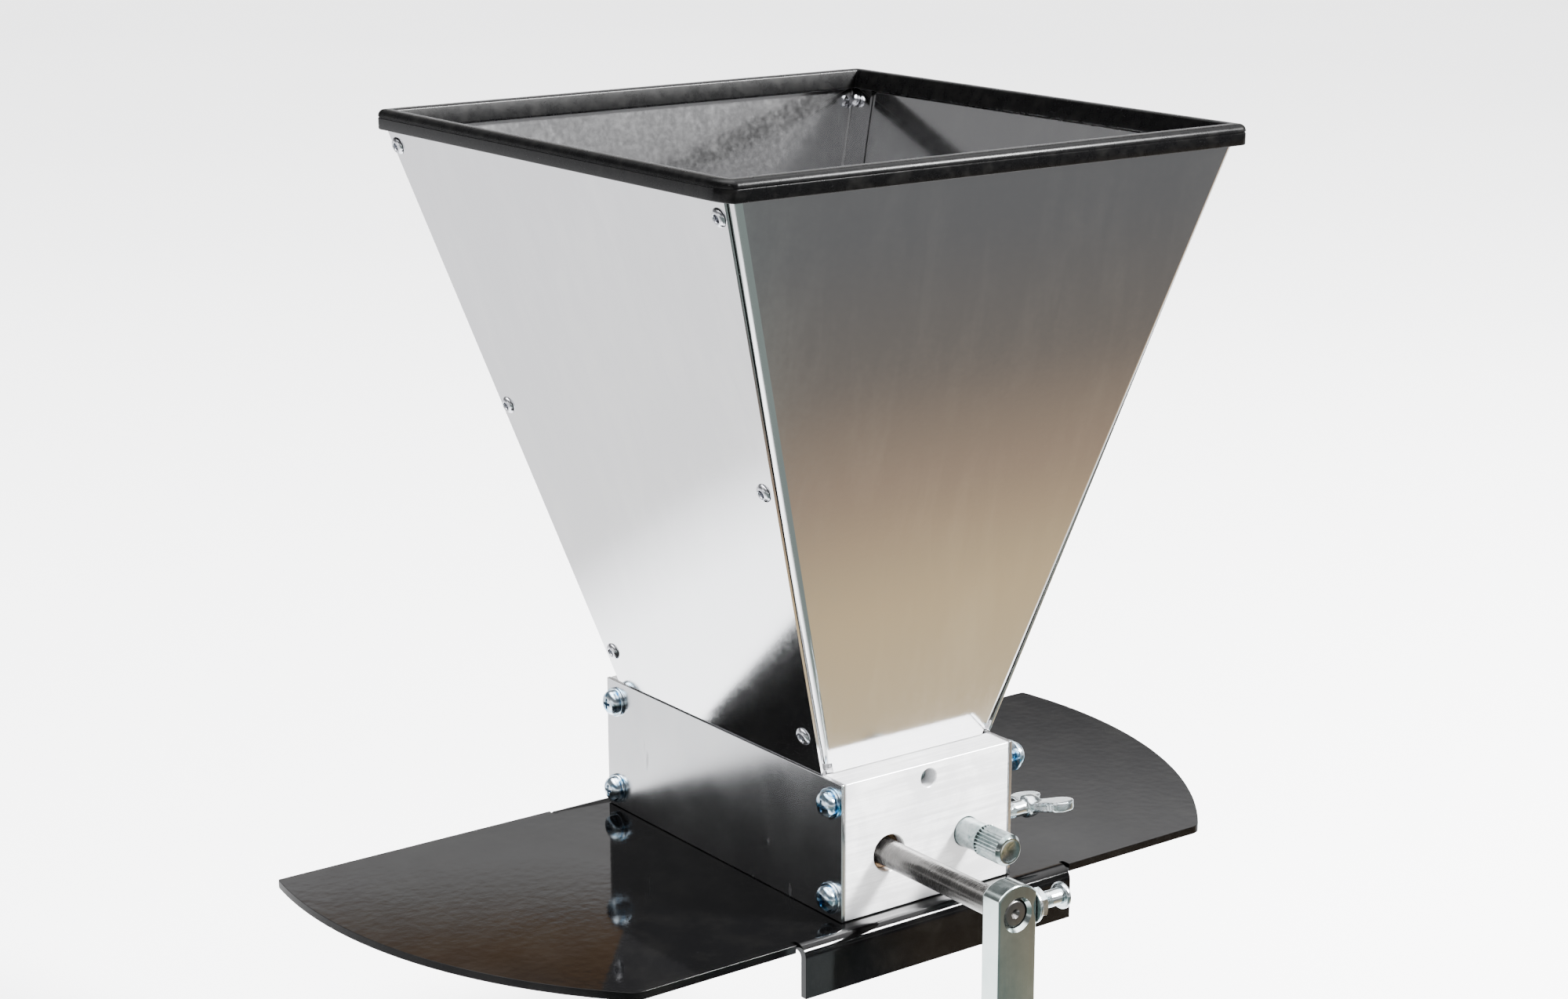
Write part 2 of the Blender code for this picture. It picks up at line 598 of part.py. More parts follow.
def side_normal(side):
    """Turn that points local +Z out of a sloping side panel."""
    return Matrix.Rotation(side * (math.pi / 2 + SIDE_SLOPE), 4, "Y")


def rivet(name, side, point):
    """Dome-head blind rivet through the side panel and the flange behind it."""
    grip = 2 * HOPPER_SHEET + 2 * GAP
    profile = [(0.0, 0.9 * MM), (0.8 * MM, 0.85 * MM), (2.2 * MM, 1.45 * MM), (3.1 * MM, 0.75 * MM),
               (3.4 * MM, 0.15 * MM), (RIVET_R, 0.15 * MM), (RIVET_R, -grip),
               (2.5 * MM, -grip - 0.6 * MM), (2.3 * MM, -grip - 2.2 * MM), (0.0, -grip - 2.6 * MM)]
    return turned(name, profile, point, side_normal(side), RIVET_ALUMINIUM, segments=12)


def rounded_rectangle(half_x, y_front, y_rear, radius, steps=4):
    """Counterclockwise loop of a rounded rectangle."""
    points = []
    corners = ((1, y_rear, 0), (-1, y_rear, 90), (-1, y_front, 180), (1, y_front, 270))
    for side, y, start in corners:
        inward = -1 if y > 0 else 1
        points += arc((side * (half_x - radius), y + inward * radius), radius, start, start + 90, steps)
    return points


def rim_trim():
    """Rubber channel pressed over the hopper's rim: a U section swept around it."""
    slot_top = HOPPER_RIM_Z + HOPPER_SHEET * math.sin(SIDE_SLOPE) + 1.5 * GAP
    top = slot_top + 0.9 * TRIM_WALL
    bottom = top - TRIM_HEIGHT
    slot = HOPPER_SHEET * 2 + 3 * GAP
    inner = slot + TRIM_WALL
    outside = [(TRIM_SWELL, bottom, bottom), (TRIM_SWELL, top - TRIM_EDGE, bottom),
               (TRIM_SWELL - TRIM_EDGE, top, bottom)]
    inside = [(TRIM_EDGE - inner, top), (-inner, top - TRIM_EDGE), (-inner, bottom), (-slot, bottom),
              (-slot, slot_top), (GAP, slot_top), (GAP, bottom)]
    section = outside + [(offset, z, z) for offset, z in inside]
    mesh = bpy.data.meshes.new("rim_trim")
    bm = bmesh.new()
    loops = []
    for offset, z, panel_z in section:
        radius = max(0.3 * MM, TRIM_CORNER_R - TRIM_SWELL + offset)
        outline = rounded_rectangle(hopper_half_x(panel_z) + offset, -hopper_half_y(panel_z, -1) - offset,
                                    hopper_half_y(panel_z, 1) + offset, radius)
        loops.append([bm.verts.new((x, y, z)) for x, y in outline])
    for lower, upper in zip(loops, loops[1:] + loops[:1]):
        count = len(lower)
        for i in range(count):
            j = (i + 1) % count
            bm.faces.new((lower[i], lower[j], upper[j], upper[i]))
    bm.to_mesh(mesh)
    bm.free()
    return add_object("rim_trim", mesh, (0.0, 0.0, 0.0), material=BLACK_RUBBER)


def hopper():
    ends = {-1: hopper_end_panel("hopper_front_panel", -1), 1: hopper_end_panel("hopper_rear_panel", 1)}
    sides = {-1: hopper_side_panel("hopper_left_panel", -1), 1: hopper_side_panel("hopper_right_panel", 1)}
    for name, side, end, point in rivet_places():
        hole = turned(f"rivet_hole_{name}", rod(RIVET_R + GAP, -6 * MM, 2 * MM), point,
                      side_normal(side), segments=16)
        cut(sides[side], hole)
        cut(ends[end], hole)
        rivet(f"hopper_rivet_{name}", side, point)
    rim_trim()
    for end_name, end in (("front", -1), ("rear", 1)):
        outward = ALONG_MINUS_Y if end < 0 else ALONG_Y
        seat_y = end * (PLATE_OUTER_Y - HOPPER_SCREW_SEAT + SEATED)
        profile = [(0.0, 2.2 * MM), (0.7 * HOPPER_SCREW_HEAD_R, 2.1 * MM), (HOPPER_SCREW_HEAD_R, 1.3 * MM),
                   (HOPPER_SCREW_HEAD_R, 0.0), (HOPPER_SCREW_R, 0.0), (HOPPER_SCREW_R, -HOPPER_SCREW_REACH),
                   (0.0, -HOPPER_SCREW_REACH)]
        turned(f"hopper_screw_{end_name}", profile, (0.0, seat_y, HOPPER_SCREW_Z), outward, ZINC, segments=16)
        nut_y = end * (PLATE_INNER_Y - GAP - HOPPER_SHEET - CLOSE_FIT)
        inward = ALONG_Y if end < 0 else ALONG_MINUS_Y
        hex_nut(f"hopper_nut_{end_name}", (0.0, nut_y, HOPPER_SCREW_Z), inward, *HOPPER_NUT,
                HOPPER_SCREW_R + CLOSE_FIT, ZINC)


# ---- rollers and gap adjuster ---------------------------------------------------------------
def drive_train():
    half = ROLLER_LENGTH / 2
    turned("drive_roller", tube(ROLLER_D / 2, SHAFT_R + CLOSE_FIT, -half, half, ROLLER_CHAMFER),
           (DRIVE_X, 0.0, ROLLER_AXIS_Z), ALONG_Y, ROLLER_STEEL, segments=48, closed=True)
    front_end = -(ARM_FACE_Y + 1.2 * MM)
    rear_end = -(PLATE_OUTER_Y - 2.0 * MM)
    pit = 1.7 * MM
    profile = [(0.0, front_end - pit), (pit, front_end), (SHAFT_R - 0.7 * MM, front_end),
               (SHAFT_R, front_end - 0.7 * MM), (SHAFT_R, rear_end + 0.7 * MM),
               (SHAFT_R - 0.7 * MM, rear_end), (0.0, rear_end)]
    turned("drive_shaft", profile, (DRIVE_X, 0.0, ROLLER_AXIS_Z), ALONG_MINUS_Y, GROUND_STEEL)
    for end_name, end in (("front", -1), ("rear", 1)):
        outward = ALONG_MINUS_Y if end < 0 else ALONG_Y
        turned(f"drive_bush_{end_name}", tube(BUSH_R, SHAFT_R + RUNNING, 0.0, BUSH_LENGTH, 0.3 * MM),
               (DRIVE_X, end * PLATE_INNER_Y, ROLLER_AXIS_Z), outward, BRONZE, closed=True)


def idler_train():
    half = ROLLER_LENGTH / 2
    bush_length = 15.0 * MM
    bush_r = 7.0 * MM
    shoulder = half - bush_length - GAP
    bush_seat_r = bush_r + CLOSE_FIT
    bore_r = ECCENTRIC_R + MM
    profile = [(ROLLER_D / 2 - ROLLER_CHAMFER, half), (ROLLER_D / 2, half - ROLLER_CHAMFER),
               (ROLLER_D / 2, ROLLER_CHAMFER - half), (ROLLER_D / 2 - ROLLER_CHAMFER, -half),
               (bush_seat_r, -half), (bush_seat_r, -shoulder), (bore_r, -shoulder),
               (bore_r, shoulder), (bush_seat_r, shoulder), (bush_seat_r, half)]
    turned("idler_roller", profile, (IDLER_X, 0.0, IDLER_Z), ALONG_Y, ROLLER_STEEL,
           segments=48, closed=True)
    for end_name, end in (("front", -1), ("rear", 1)):
        outward = ALONG_MINUS_Y if end < 0 else ALONG_Y
        turned(f"idler_bush_{end_name}", tube(bush_r, ECCENTRIC_R + RUNNING, -bush_length, 0.0, 0.3 * MM),
               (IDLER_X, end * half, IDLER_Z), outward, BRONZE, closed=True)


def gap_adjuster():
    """Knob, journals and eccentric shaft in one piece. Turning it moves the idler roller's axis."""
    front = PLATE_OUTER_Y + COLLAR_REACH
    tip = front + KNOB_LENGTH
    neck = PLATE_INNER_Y - GAP
    knob_and_journal = [
        (0.0, tip), (KNOB_R - 1.2 * MM, tip), (KNOB_R, tip - 1.2 * MM), (KNOB_R, front + 0.5 * MM),
        (KNOB_R - 0.5 * MM, front), (COLLAR_R, front), (COLLAR_R, neck), (0.0, neck)]
    place = (IDLER_X, 0.0, ROLLER_AXIS_Z)
    adjuster = turned("gap_adjuster", knob_and_journal, place, ALONG_MINUS_Y, ZINC)
    eccentric = turned("eccentric_shaft", rod(ECCENTRIC_R, -neck, neck + MM),
                       (IDLER_X, 0.0, IDLER_Z), ALONG_MINUS_Y)
    rear_journal = turned("rear_journal", rod(REAR_JOURNAL_R, -(PLATE_OUTER_Y - 2.0 * MM), MM - neck, 0.0),
                          place, ALONG_MINUS_Y)
    join(adjuster, eccentric, rear_journal)


def wing_screw():
    """Thumb screw that locks the adjuster. It lies along X, with its tip on the journal."""
    place = Vector((IDLER_X, -PLATE_MID_Y, ROLLER_AXIS_Z))
    tip = COLLAR_R + GAP
    stem = WING_STEM_END - IDLER_X
    top = stem + WING_BOSS_LENGTH
    profile = [(0.0, top), (0.62 * WING_BOSS_R, top), (0.75 * WING_BOSS_R, top - 0.5 * MM),
               (WING_BOSS_R, stem + 0.6 * MM), (WING_BOSS_R - 0.5 * MM, stem),
               (WING_SCREW_R, stem), (WING_SCREW_R, tip + 0.6 * MM), (WING_SCREW_R - 0.6 * MM, tip),
               (0.0, tip)]
    screw = turned("wing_screw", profile, place, ALONG_X, ZINC, segments=16)
    tilt = Matrix.Rotation(math.radians(-WING_TURN), 4, "X")
    root_r = 0.8 * WING_BOSS_R
    for number, side in enumerate((-1, 1)):
        root = (stem + root_r, side * root_r / 2)
        lobe = (stem + WING_LOBE_REACH, side * WING_LOBE_REACH)
        outline = lobe_outline(root, root_r, lobe, WING_LOBE_R)
        wing = flat_plate(f"wing_{number}", outline, WING_LOBE_T, place, tilt)
        join(screw, wing)


# ---- crank ----------------------------------------------------------------------------------
def crank():
    axis = (DRIVE_X, ARM_MID_Y, ROLLER_AXIS_Z)
    shoulder = math.degrees(math.acos(ARM_W / 2 / ARM_HEAD_R))
    outline = (arc((0.0, 0.0), ARM_HEAD_R, shoulder, 180 - shoulder, 14)
               + arc((0.0, -CRANK_THROW), ARM_W / 2, 180, 360, 16))
    arm = flat_plate("crank_arm", outline, ARM_T, axis, ALONG_MINUS_Y, CRANK_STEEL)
    round_edges(arm, 0.5 * MM)
    face = ARM_T / 2
    flare = ARM_CHAMFER_R - ARM_HOLE_R
    shaft_hole = turned("arm_shaft_hole", [
        (0.0, face + MM), (ARM_CHAMFER_R + flare, face + MM), (ARM_HOLE_R, face - ARM_CHAMFER_DEPTH),
        (ARM_HOLE_R, -face - MM), (0.0, -face - MM)], axis, ALONG_MINUS_Y)
    spindle_hole = turned("arm_spindle_hole", rod(SPINDLE_R + CLOSE_FIT, -face - MM, face + MM),
                          (DRIVE_X, ARM_MID_Y, GRIP_Z), ALONG_MINUS_Y, segments=16)
    clamp_hole = turned("arm_clamp_hole", rod(CLAMP_R + CLOSE_FIT, SHAFT_R / 2, ARM_W), axis, ALONG_X,
                        segments=16)
    cut(arm, shaft_hole, spindle_hole, clamp_hole)
    clamp(axis)
    handle()


def clamp(axis):
    """Round-headed bolt that bears on the shaft, with its lock nut and washer."""
    x, y, z = axis
    tip = SHAFT_R + GAP
    near = CLAMP_HEAD_REACH
    profile = [(0.0, near + 2.6 * MM), (3.2 * MM, near + 2.6 * MM), (3.6 * MM, near + 1.9 * MM),
               (CLAMP_HEAD_R - 0.5 * MM, near + 1.9 * MM), (CLAMP_HEAD_R, near + 1.4 * MM),
               (CLAMP_HEAD_R, near + 0.4 * MM), (CLAMP_HEAD_R - 0.4 * MM, near),
               (CLAMP_R, near), (CLAMP_R, tip), (0.0, tip)]
    turned("crank_clamp_bolt", profile, axis, ALONG_X, ZINC, segments=28)
    seat = x + ARM_W / 2 + GAP
    hole = CLAMP_R + CLOSE_FIT
    flat_washer("crank_lock_washer", (seat, y, z), ALONG_X, CLAMP_WASHER_R, hole, CLAMP_WASHER_T, ZINC)
    hex_nut("crank_lock_nut", (seat + CLAMP_WASHER_T + 0.2 * MM, y, z), ALONG_X, *CLAMP_NUT, hole, ZINC)


def handle():
    """Turning grip on a shoulder spindle, held in the arm by a washer and nut."""
    x = DRIVE_X
    grip_start = ARM_T / 2 + 1.2 * MM
    grip_end = grip_start + GRIP_LENGTH
    bore = SPINDLE_R + 0.1 * MM
    place = (x, ARM_MID_Y, GRIP_Z)
    recess = 4.5 * MM
    recess_r = 7.2 * MM
    profile = [(GRIP_R - 4.0 * MM, grip_end), (GRIP_R - 1.2 * MM, grip_end - 1.6 * MM),
               (GRIP_R, grip_end - 7.0 * MM), (GRIP_R, grip_end - 30.0 * MM),
               (GRIP_R - 2.6 * MM, grip_start + 22.0 * MM), (GRIP_R - 3.6 * MM, grip_start + 6.0 * MM),
               (GRIP_R - 2.4 * MM, grip_start + 2.0 * MM), (GRIP_R - 3.4 * MM, grip_start),
               (bore, grip_start), (bore, grip_end - recess), (recess_r, grip_end - recess),
               (recess_r, grip_end)]
    turned("handle_grip", profile, place, ALONG_MINUS_Y, GRIP_PLASTIC, segments=28, closed=True)
    head = grip_end - recess + GAP
    end = -(ARM_T / 2 + 9.6 * MM)
    spindle = [(0.0, head + 3.4 * MM), (4.6 * MM, head + 3.2 * MM), (6.4 * MM, head + 2.0 * MM),
               (6.6 * MM, head), (SPINDLE_R, head), (SPINDLE_R, end + 0.7 * MM),
               (SPINDLE_R - 0.7 * MM, end), (0.0, end)]
    turned("handle_spindle", spindle, place, ALONG_MINUS_Y, ZINC)
    washer_y = ARM_BACK_Y + GAP
    hole = SPINDLE_R + CLOSE_FIT
    nut_y = washer_y + SPINDLE_WASHER_T + 0.2 * MM
    flat_washer("handle_washer", (x, washer_y, GRIP_Z), ALONG_Y, SPINDLE_WASHER_R, hole, SPINDLE_WASHER_T, ZINC)
    hex_nut("handle_nut", (x, nut_y, GRIP_Z), ALONG_Y, *SPINDLE_NUT, hole, ZINC)


body()
hopper()
drive_train()
idler_train()
gap_adjuster()
wing_screw()
crank()
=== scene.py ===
"""Looks of a hand-cranked two-roller grain mill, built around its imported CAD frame.

Everything is in metres in the frame's own axes: +Z up, the crank at -Y, the base plate's wings
along X. A fine mesh stands for each CAD node, and each metal, paint, rubber and plastic has its
own node-based material in Object coordinates.
"""

import json
import math

import bmesh
import bpy
from mathutils import Matrix, Vector


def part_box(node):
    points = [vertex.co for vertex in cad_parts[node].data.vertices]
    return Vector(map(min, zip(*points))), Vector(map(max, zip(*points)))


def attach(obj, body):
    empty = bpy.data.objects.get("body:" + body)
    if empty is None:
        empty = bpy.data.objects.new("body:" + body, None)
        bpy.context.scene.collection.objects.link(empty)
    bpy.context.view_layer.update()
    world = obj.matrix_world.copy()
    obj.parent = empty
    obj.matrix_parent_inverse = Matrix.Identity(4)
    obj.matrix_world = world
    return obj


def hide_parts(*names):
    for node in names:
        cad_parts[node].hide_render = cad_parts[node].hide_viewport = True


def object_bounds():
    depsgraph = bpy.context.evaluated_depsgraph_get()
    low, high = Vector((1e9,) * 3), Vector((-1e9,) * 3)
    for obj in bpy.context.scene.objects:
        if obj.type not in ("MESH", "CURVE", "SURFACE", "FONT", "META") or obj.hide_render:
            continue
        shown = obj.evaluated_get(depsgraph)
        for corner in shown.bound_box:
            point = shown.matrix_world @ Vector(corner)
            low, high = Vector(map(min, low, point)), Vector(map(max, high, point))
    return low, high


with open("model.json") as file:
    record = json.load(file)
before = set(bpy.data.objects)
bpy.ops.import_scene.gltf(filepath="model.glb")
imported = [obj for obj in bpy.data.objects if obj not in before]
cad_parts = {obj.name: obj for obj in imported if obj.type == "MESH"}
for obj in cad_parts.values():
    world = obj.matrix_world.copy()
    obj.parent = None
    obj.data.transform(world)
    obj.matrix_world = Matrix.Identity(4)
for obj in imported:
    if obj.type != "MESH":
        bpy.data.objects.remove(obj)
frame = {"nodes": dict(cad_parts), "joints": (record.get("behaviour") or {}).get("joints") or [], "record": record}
CAD_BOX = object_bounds()

MM = 0.001
UP = Vector((0.0, 0.0, 1.0))
JOINT = {joint["name"]: Vector(joint["pos_m"]) for joint in frame["joints"]}
BODIES = frame["record"]["behaviour"]["bodies"]
BODY_OF = {node: body for body, nodes in BODIES.items() for node in nodes}

# ---- sizes that the frame's boxes don't give ---------------------------------------------------
SCREW_R = 2.5 * MM                  # side and base screws
SCREW_HEAD_R = 4.8 * MM
SCREW_HEAD_H = 3.6 * MM
SCREW_WASHER_R = 5.8 * MM
SCREW_WASHER_T = 1.0 * MM
THREAD_PITCH = 0.8 * MM
THREAD_DEPTH = 0.42 * MM
SHAFT_HOLE_R = 6.9 * MM
BUSH_SEAT_R = 7.95 * MM
BUSH_SEAT_DEPTH = 8.8 * MM
ADJUSTER_HOLE_R = {"front": 5.6 * MM, "rear": 4.2 * MM}
COUNTERBORE_R = 3.5 * MM
COUNTERBORE_DEPTH = 7.0 * MM
HOPPER_SCREW_R = 2.0 * MM
TAP_R = 2.8 * MM
SIDE_SCREW_DEPTH = 13.0 * MM        # of the tapped holes in the end plates
BASE_SCREW_DEPTH = 10.5 * MM
LOCK_HOLE_R = 3.3 * MM
COLLAR_R = 5.5 * MM
ECCENTRIC_R = 4.7 * MM
ECCENTRIC_HALF = 63.8 * MM          # its half length, between the collar and the rear journal
REAR_JOURNAL_R = 4.1 * MM
KNURL_LENGTH = 14.6 * MM
KNOB_TEETH = 26
KNOB_TOOTH_DEPTH = 0.75 * MM
ARM_HOLE_R = 5.15 * MM
ARM_CHAMFER_R = 6.3 * MM
CLOSE_FIT = 0.15 * MM               # radial clearance of a pin or screw in its hole
SPINDLE_R = 4.0 * MM
CLAMP_R = 3.0 * MM
RIVET_R = 1.6 * MM
FRONT_SLOPE = math.radians(11.85)   # of the hopper's front panel from upright
REAR_SLOPE = math.radians(10.76)
TRIM_WALL = 1.6 * MM
TRIM_SWELL = 3.0 * MM               # from the panel's face to the trim's outer face
TRIM_SLOT = 2.9 * MM
# mm across and along, at the rear right, rear left, front left and front right corners
TRIM_CORNERS = ((3.6, 3.6), (3.6, 3.6), (4.2, 12.0), (3.6, 3.6))
WING_LOBE_R = 5.8 * MM
WING_LOBE_REACH = 9.5 * MM
WING_LOBE_T = 3.6 * MM
WING_TURN = math.radians(10.0)


# ---- materials ---------------------------------------------------------------------------------
class Tree:
    """Shorthand for wiring a node tree."""

    def __init__(self, tree):
        self.nodes = tree.nodes
        self.links = tree.links

    def spread(self, value, low, high, out_low=0.0, out_high=1.0):
        """Clamped linear map of a value."""
        node = self.nodes.new("ShaderNodeMapRange")
        self.links.new(value, node.inputs["Value"])
        ends = {"From Min": low, "From Max": high, "To Min": out_low, "To Max": out_high}
        for socket, number in ends.items():
            node.inputs[socket].default_value = number
        return node.outputs["Result"]

    def math(self, operation, first, second):
        node = self.nodes.new("ShaderNodeMath")
        node.operation = operation
        for socket, value in zip(node.inputs, (first, second)):
            if isinstance(value, (int, float)):
                socket.default_value = value
            else:
                self.links.new(value, socket)
        return node.outputs["Value"]

    def blend(self, value, first, second):
        """Colour between two, which may be tuples or sockets."""
        node = self.nodes.new("ShaderNodeMix")
        node.data_type = "RGBA"
        self.links.new(value, node.inputs["Factor"])
        for socket, colour in ((node.inputs[6], first), (node.inputs[7], second)):
            if isinstance(colour, tuple):
                socket.default_value = (*colour, 1.0)
            else:
                self.links.new(colour, socket)
        return node.outputs[2]

    def ramp(self, value, stops):
        """Colour along stops, each a position with a colour or a grey level."""
        node = self.nodes.new("ShaderNodeValToRGB")
        self.links.new(value, node.inputs["Fac"])
        elements = node.color_ramp.elements
        while len(elements) < len(stops):
            elements.new(0.5)
        for element, (position, level) in zip(elements, stops):
            colour = level if isinstance(level, tuple) else (level, level, level * 1.01)
            element.position = position
            element.color = (*colour, 1.0)
        return node.outputs["Color"]


class Finish(Tree):
    """A Principled material with noise-driven detail in Object coordinates."""

    def __init__(self, name, colour, roughness, metallic, **constants):
        self.material = bpy.data.materials.new(name)
        self.material.use_nodes = True
        super().__init__(self.material.node_tree)
        self.shader = self.nodes["Principled BSDF"]
        self.material.diffuse_color = (*colour, 1.0)
        self.shader.inputs["Base Color"].default_value = (*colour, 1.0)
        self.shader.inputs["Roughness"].default_value = roughness
        self.shader.inputs["Metallic"].default_value = metallic
        for socket, value in constants.items():
            self.shader.inputs[socket.replace("_", " ")].default_value = value
        self.place = self.nodes.new("ShaderNodeTexCoord").outputs["Object"]
        self.normal = None

    def stretched(self, scale=(1.0, 1.0, 1.0), turn=(0.0, 0.0, 0.0)):
        mapping = self.nodes.new("ShaderNodeMapping")
        mapping.inputs["Scale"].default_value = scale
        mapping.inputs["Rotation"].default_value = [math.radians(a) for a in turn]
        self.links.new(self.place, mapping.inputs["Vector"])
        return mapping.outputs["Vector"]

    def noise(self, scale, detail=4.0, roughness=0.55, distortion=0.0, vector=None):
        node = self.nodes.new("ShaderNodeTexNoise")
        node.inputs["Scale"].default_value = scale
        node.inputs["Detail"].default_value = detail
        node.inputs["Roughness"].default_value = roughness
        node.inputs["Distortion"].default_value = distortion
        self.links.new(vector or self.place, node.inputs["Vector"])
        return node.outputs["Fac"]

    def colour(self, socket):
        self.links.new(socket, self.shader.inputs["Base Color"])

    def rough(self, socket):
        self.links.new(socket, self.shader.inputs["Roughness"])

    def bump(self, height, strength, distance):
        node = self.nodes.new("ShaderNodeBump")
        node.inputs["Strength"].default_value = strength
        node.inputs["Distance"].default_value = distance
        self.links.new(height, node.inputs["Height"])
        if self.normal:
            self.links.new(self.normal, node.inputs["Normal"])
        self.normal = node.outputs["Normal"]
        self.links.new(self.normal, self.shader.inputs["Normal"])


def hopper_steel():
    """Satin rolled sheet with handling smudges and a fine mottle."""
    f = Finish("hopper_steel", (0.69, 0.69, 0.70), 0.16, 1.0)
    cloud = f.noise(9.0, 5.0, 0.6, 0.8)
    streaks = f.noise(1.0, 3.0, 0.6, 0.3, f.stretched((90.0, 90.0, 9.0), (0.0, 16.0, 12.0)))
    smudge = f.spread(f.math("MULTIPLY", cloud, streaks), 0.22, 0.42)
    f.colour(f.blend(smudge, (0.67, 0.67, 0.68), (0.71, 0.71, 0.715)))
    grain = f.noise(420.0, 3.0, 0.6)
    f.rough(f.math("ADD", f.spread(smudge, 0.0, 1.0, 0.11, 0.135),
                   f.spread(grain, 0.3, 0.7, -0.01, 0.02)))
    f.bump(f.noise(620.0, 2.0, 0.5), 0.06, 0.00006)
    f.bump(f.noise(22.0, 2.0, 0.5), 0.015, 0.0012)
    return f.material


def plate_aluminium():
    """Machined aluminium with fine level tool lines."""
    f = Finish("plate_aluminium", (0.66, 0.66, 0.67), 0.40, 0.40,
               Anisotropic=0.55, Anisotropic_Rotation=0.25)
    tangent = f.nodes.new("ShaderNodeTangent")
    tangent.direction_type = "RADIAL"
    tangent.axis = "Z"
    f.links.new(tangent.outputs["Tangent"], f.shader.inputs["Tangent"])
    lines = f.noise(1.0, 5.0, 0.65, 0.0, f.stretched((18.0, 900.0, 900.0), (0.0, 1.5, 0.0)))
    patches = f.noise(60.0, 4.0, 0.6, 0.5)
    worn = f.spread(f.math("MULTIPLY", patches, lines), 0.20, 0.34)
    f.colour(f.blend(worn, (0.56, 0.56, 0.57), (0.72, 0.72, 0.725)))
    f.rough(f.math("ADD", f.spread(lines, 0.3, 0.7, 0.32, 0.44),
                   f.spread(patches, 0.3, 0.7, -0.04, 0.06)))
    f.bump(lines, 0.5, 0.00006)
    return f.material


def panel_steel():
    """Bright cold-rolled side panels with a few scuffs."""
    f = Finish("panel_steel", (0.70, 0.71, 0.72), 0.15, 1.0)
    cloud = f.noise(30.0, 5.0, 0.6, 0.4)
    scuffs = f.noise(1.0, 2.0, 0.5, 0.0, f.stretched((1.0, 130.0, 26.0), (38.0, 0.0, 0.0)))
    marks = f.spread(scuffs, 0.70, 0.76)
    base = f.blend(f.spread(cloud, 0.35, 0.7), (0.66, 0.67, 0.685), (0.74, 0.75, 0.76))
    f.colour(f.blend(marks, base, (0.30, 0.30, 0.31)))
    f.rough(f.math("ADD", f.spread(cloud, 0.3, 0.7, 0.18, 0.23), f.math("MULTIPLY", marks, 0.25)))
    f.bump(f.noise(18.0, 2.0, 0.5), 0.02, 0.0012)
    f.bump(f.noise(1.0, 3.0, 0.6, 0.0, f.stretched((900.0, 14.0, 900.0))), 0.10, 0.00003)
    return f.material


def black_paint():
    """Glossy black powder coat with a slight orange peel."""
    f = Finish("black_paint", (0.0015, 0.0015, 0.0016), 0.07, 0.0, Specular_IOR_Level=0.12)
    dust = f.noise(70.0, 6.0, 0.7)
    f.colour(f.blend(f.spread(dust, 0.45, 0.8), (0.0008, 0.0008, 0.0009), (0.0028, 0.0027, 0.0025)))
    f.rough(f.spread(f.noise(14.0, 4.0, 0.6, 0.5), 0.3, 0.7, 0.05, 0.09))
    f.bump(f.noise(260.0, 2.0, 0.45), 0.07, 0.00020)
    return f.material


def black_rubber():
    """Extruded rubber edging, faintly dusty."""
    f = Finish("black_rubber", (0.002, 0.002, 0.002), 0.30, 0.0, Specular_IOR_Level=0.07)
    dust = f.noise(160.0, 6.0, 0.7)
    f.colour(f.blend(f.spread(dust, 0.5, 0.8), (0.0012, 0.0012, 0.0013), (0.005, 0.0048, 0.0045)))
    f.rough(f.spread(dust, 0.3, 0.75, 0.24, 0.34))
    f.bump(f.noise(900.0, 3.0, 0.6), 0.20, 0.00006)
    return f.material


def zinc(name, pale, tint):
    """Bright zinc plate whose passivation shifts in hue."""
    f = Finish(name, pale, 0.17, 1.0)
    hue = f.noise(230.0, 4.0, 0.6, 0.6)
    f.colour(f.blend(f.spread(hue, 0.42, 0.68), pale, tint))
    f.rough(f.spread(f.noise(520.0, 4.0, 0.65), 0.3, 0.7, 0.12, 0.24))
    f.bump(f.noise(1500.0, 2.0, 0.5), 0.10, 0.00004)
    return f.material


def crank_steel():
    """Plated bar with faint drawing lines along it."""
    f = Finish("crank_steel", (0.60, 0.64, 0.63), 0.16, 1.0)
    lines = f.noise(1.0, 4.0, 0.6, 0.0, f.stretched((700.0, 700.0, 12.0)))
    cloud = f.noise(45.0, 4.0, 0.6, 0.4)
    f.colour(f.blend(f.spread(cloud, 0.35, 0.7), (0.36, 0.42, 0.41), (0.47, 0.52, 0.51)))
    f.rough(f.math("ADD", f.spread(lines, 0.3, 0.7, 0.12, 0.18), f.spread(cloud, 0.3, 0.7, -0.02, 0.04)))
    f.bump(lines, 0.12, 0.00003)
    return f.material


def turned_steel(name, dark, light, roughness, rings, bump):
    """Turned or ground steel with rings round its Y axis."""
    f = Finish(name, light, roughness, 1.0)
    lines = f.noise(1.0, 4.0, 0.6, 0.0, f.stretched((6.0, rings, 6.0)))
    cloud = f.noise(60.0, 4.0, 0.6, 0.4)
    f.colour(f.blend(f.spread(cloud, 0.35, 0.7), dark, light))
    f.rough(f.math("ADD", f.spread(lines, 0.3, 0.7, roughness - 0.04, roughness + 0.05),
                   f.spread(cloud, 0.3, 0.7, -0.02, 0.05)))
    f.bump(lines, bump, 0.00003)
    return f.material


def bronze():
    """Oil-soaked sintered bronze with open pores. Its dark brown is partly its own colour and partly painted shade
    for the gap round the shafts.
    """
    f = Finish("bronze", (0.22, 0.14, 0.07), 0.42, 1.0)
    pores = f.noise(900.0, 4.0, 0.7)
    # Very dark browns: oily bronze, and painted shade in the gaps round the shafts.
    f.colour(f.blend(f.spread(pores, 0.4, 0.6), (0.05, 0.03, 0.018), (0.16, 0.10, 0.055)))
    f.rough(f.spread(pores, 0.3, 0.7, 0.48, 0.32))
    f.bump(pores, 0.25, 0.00006)
    return f.material


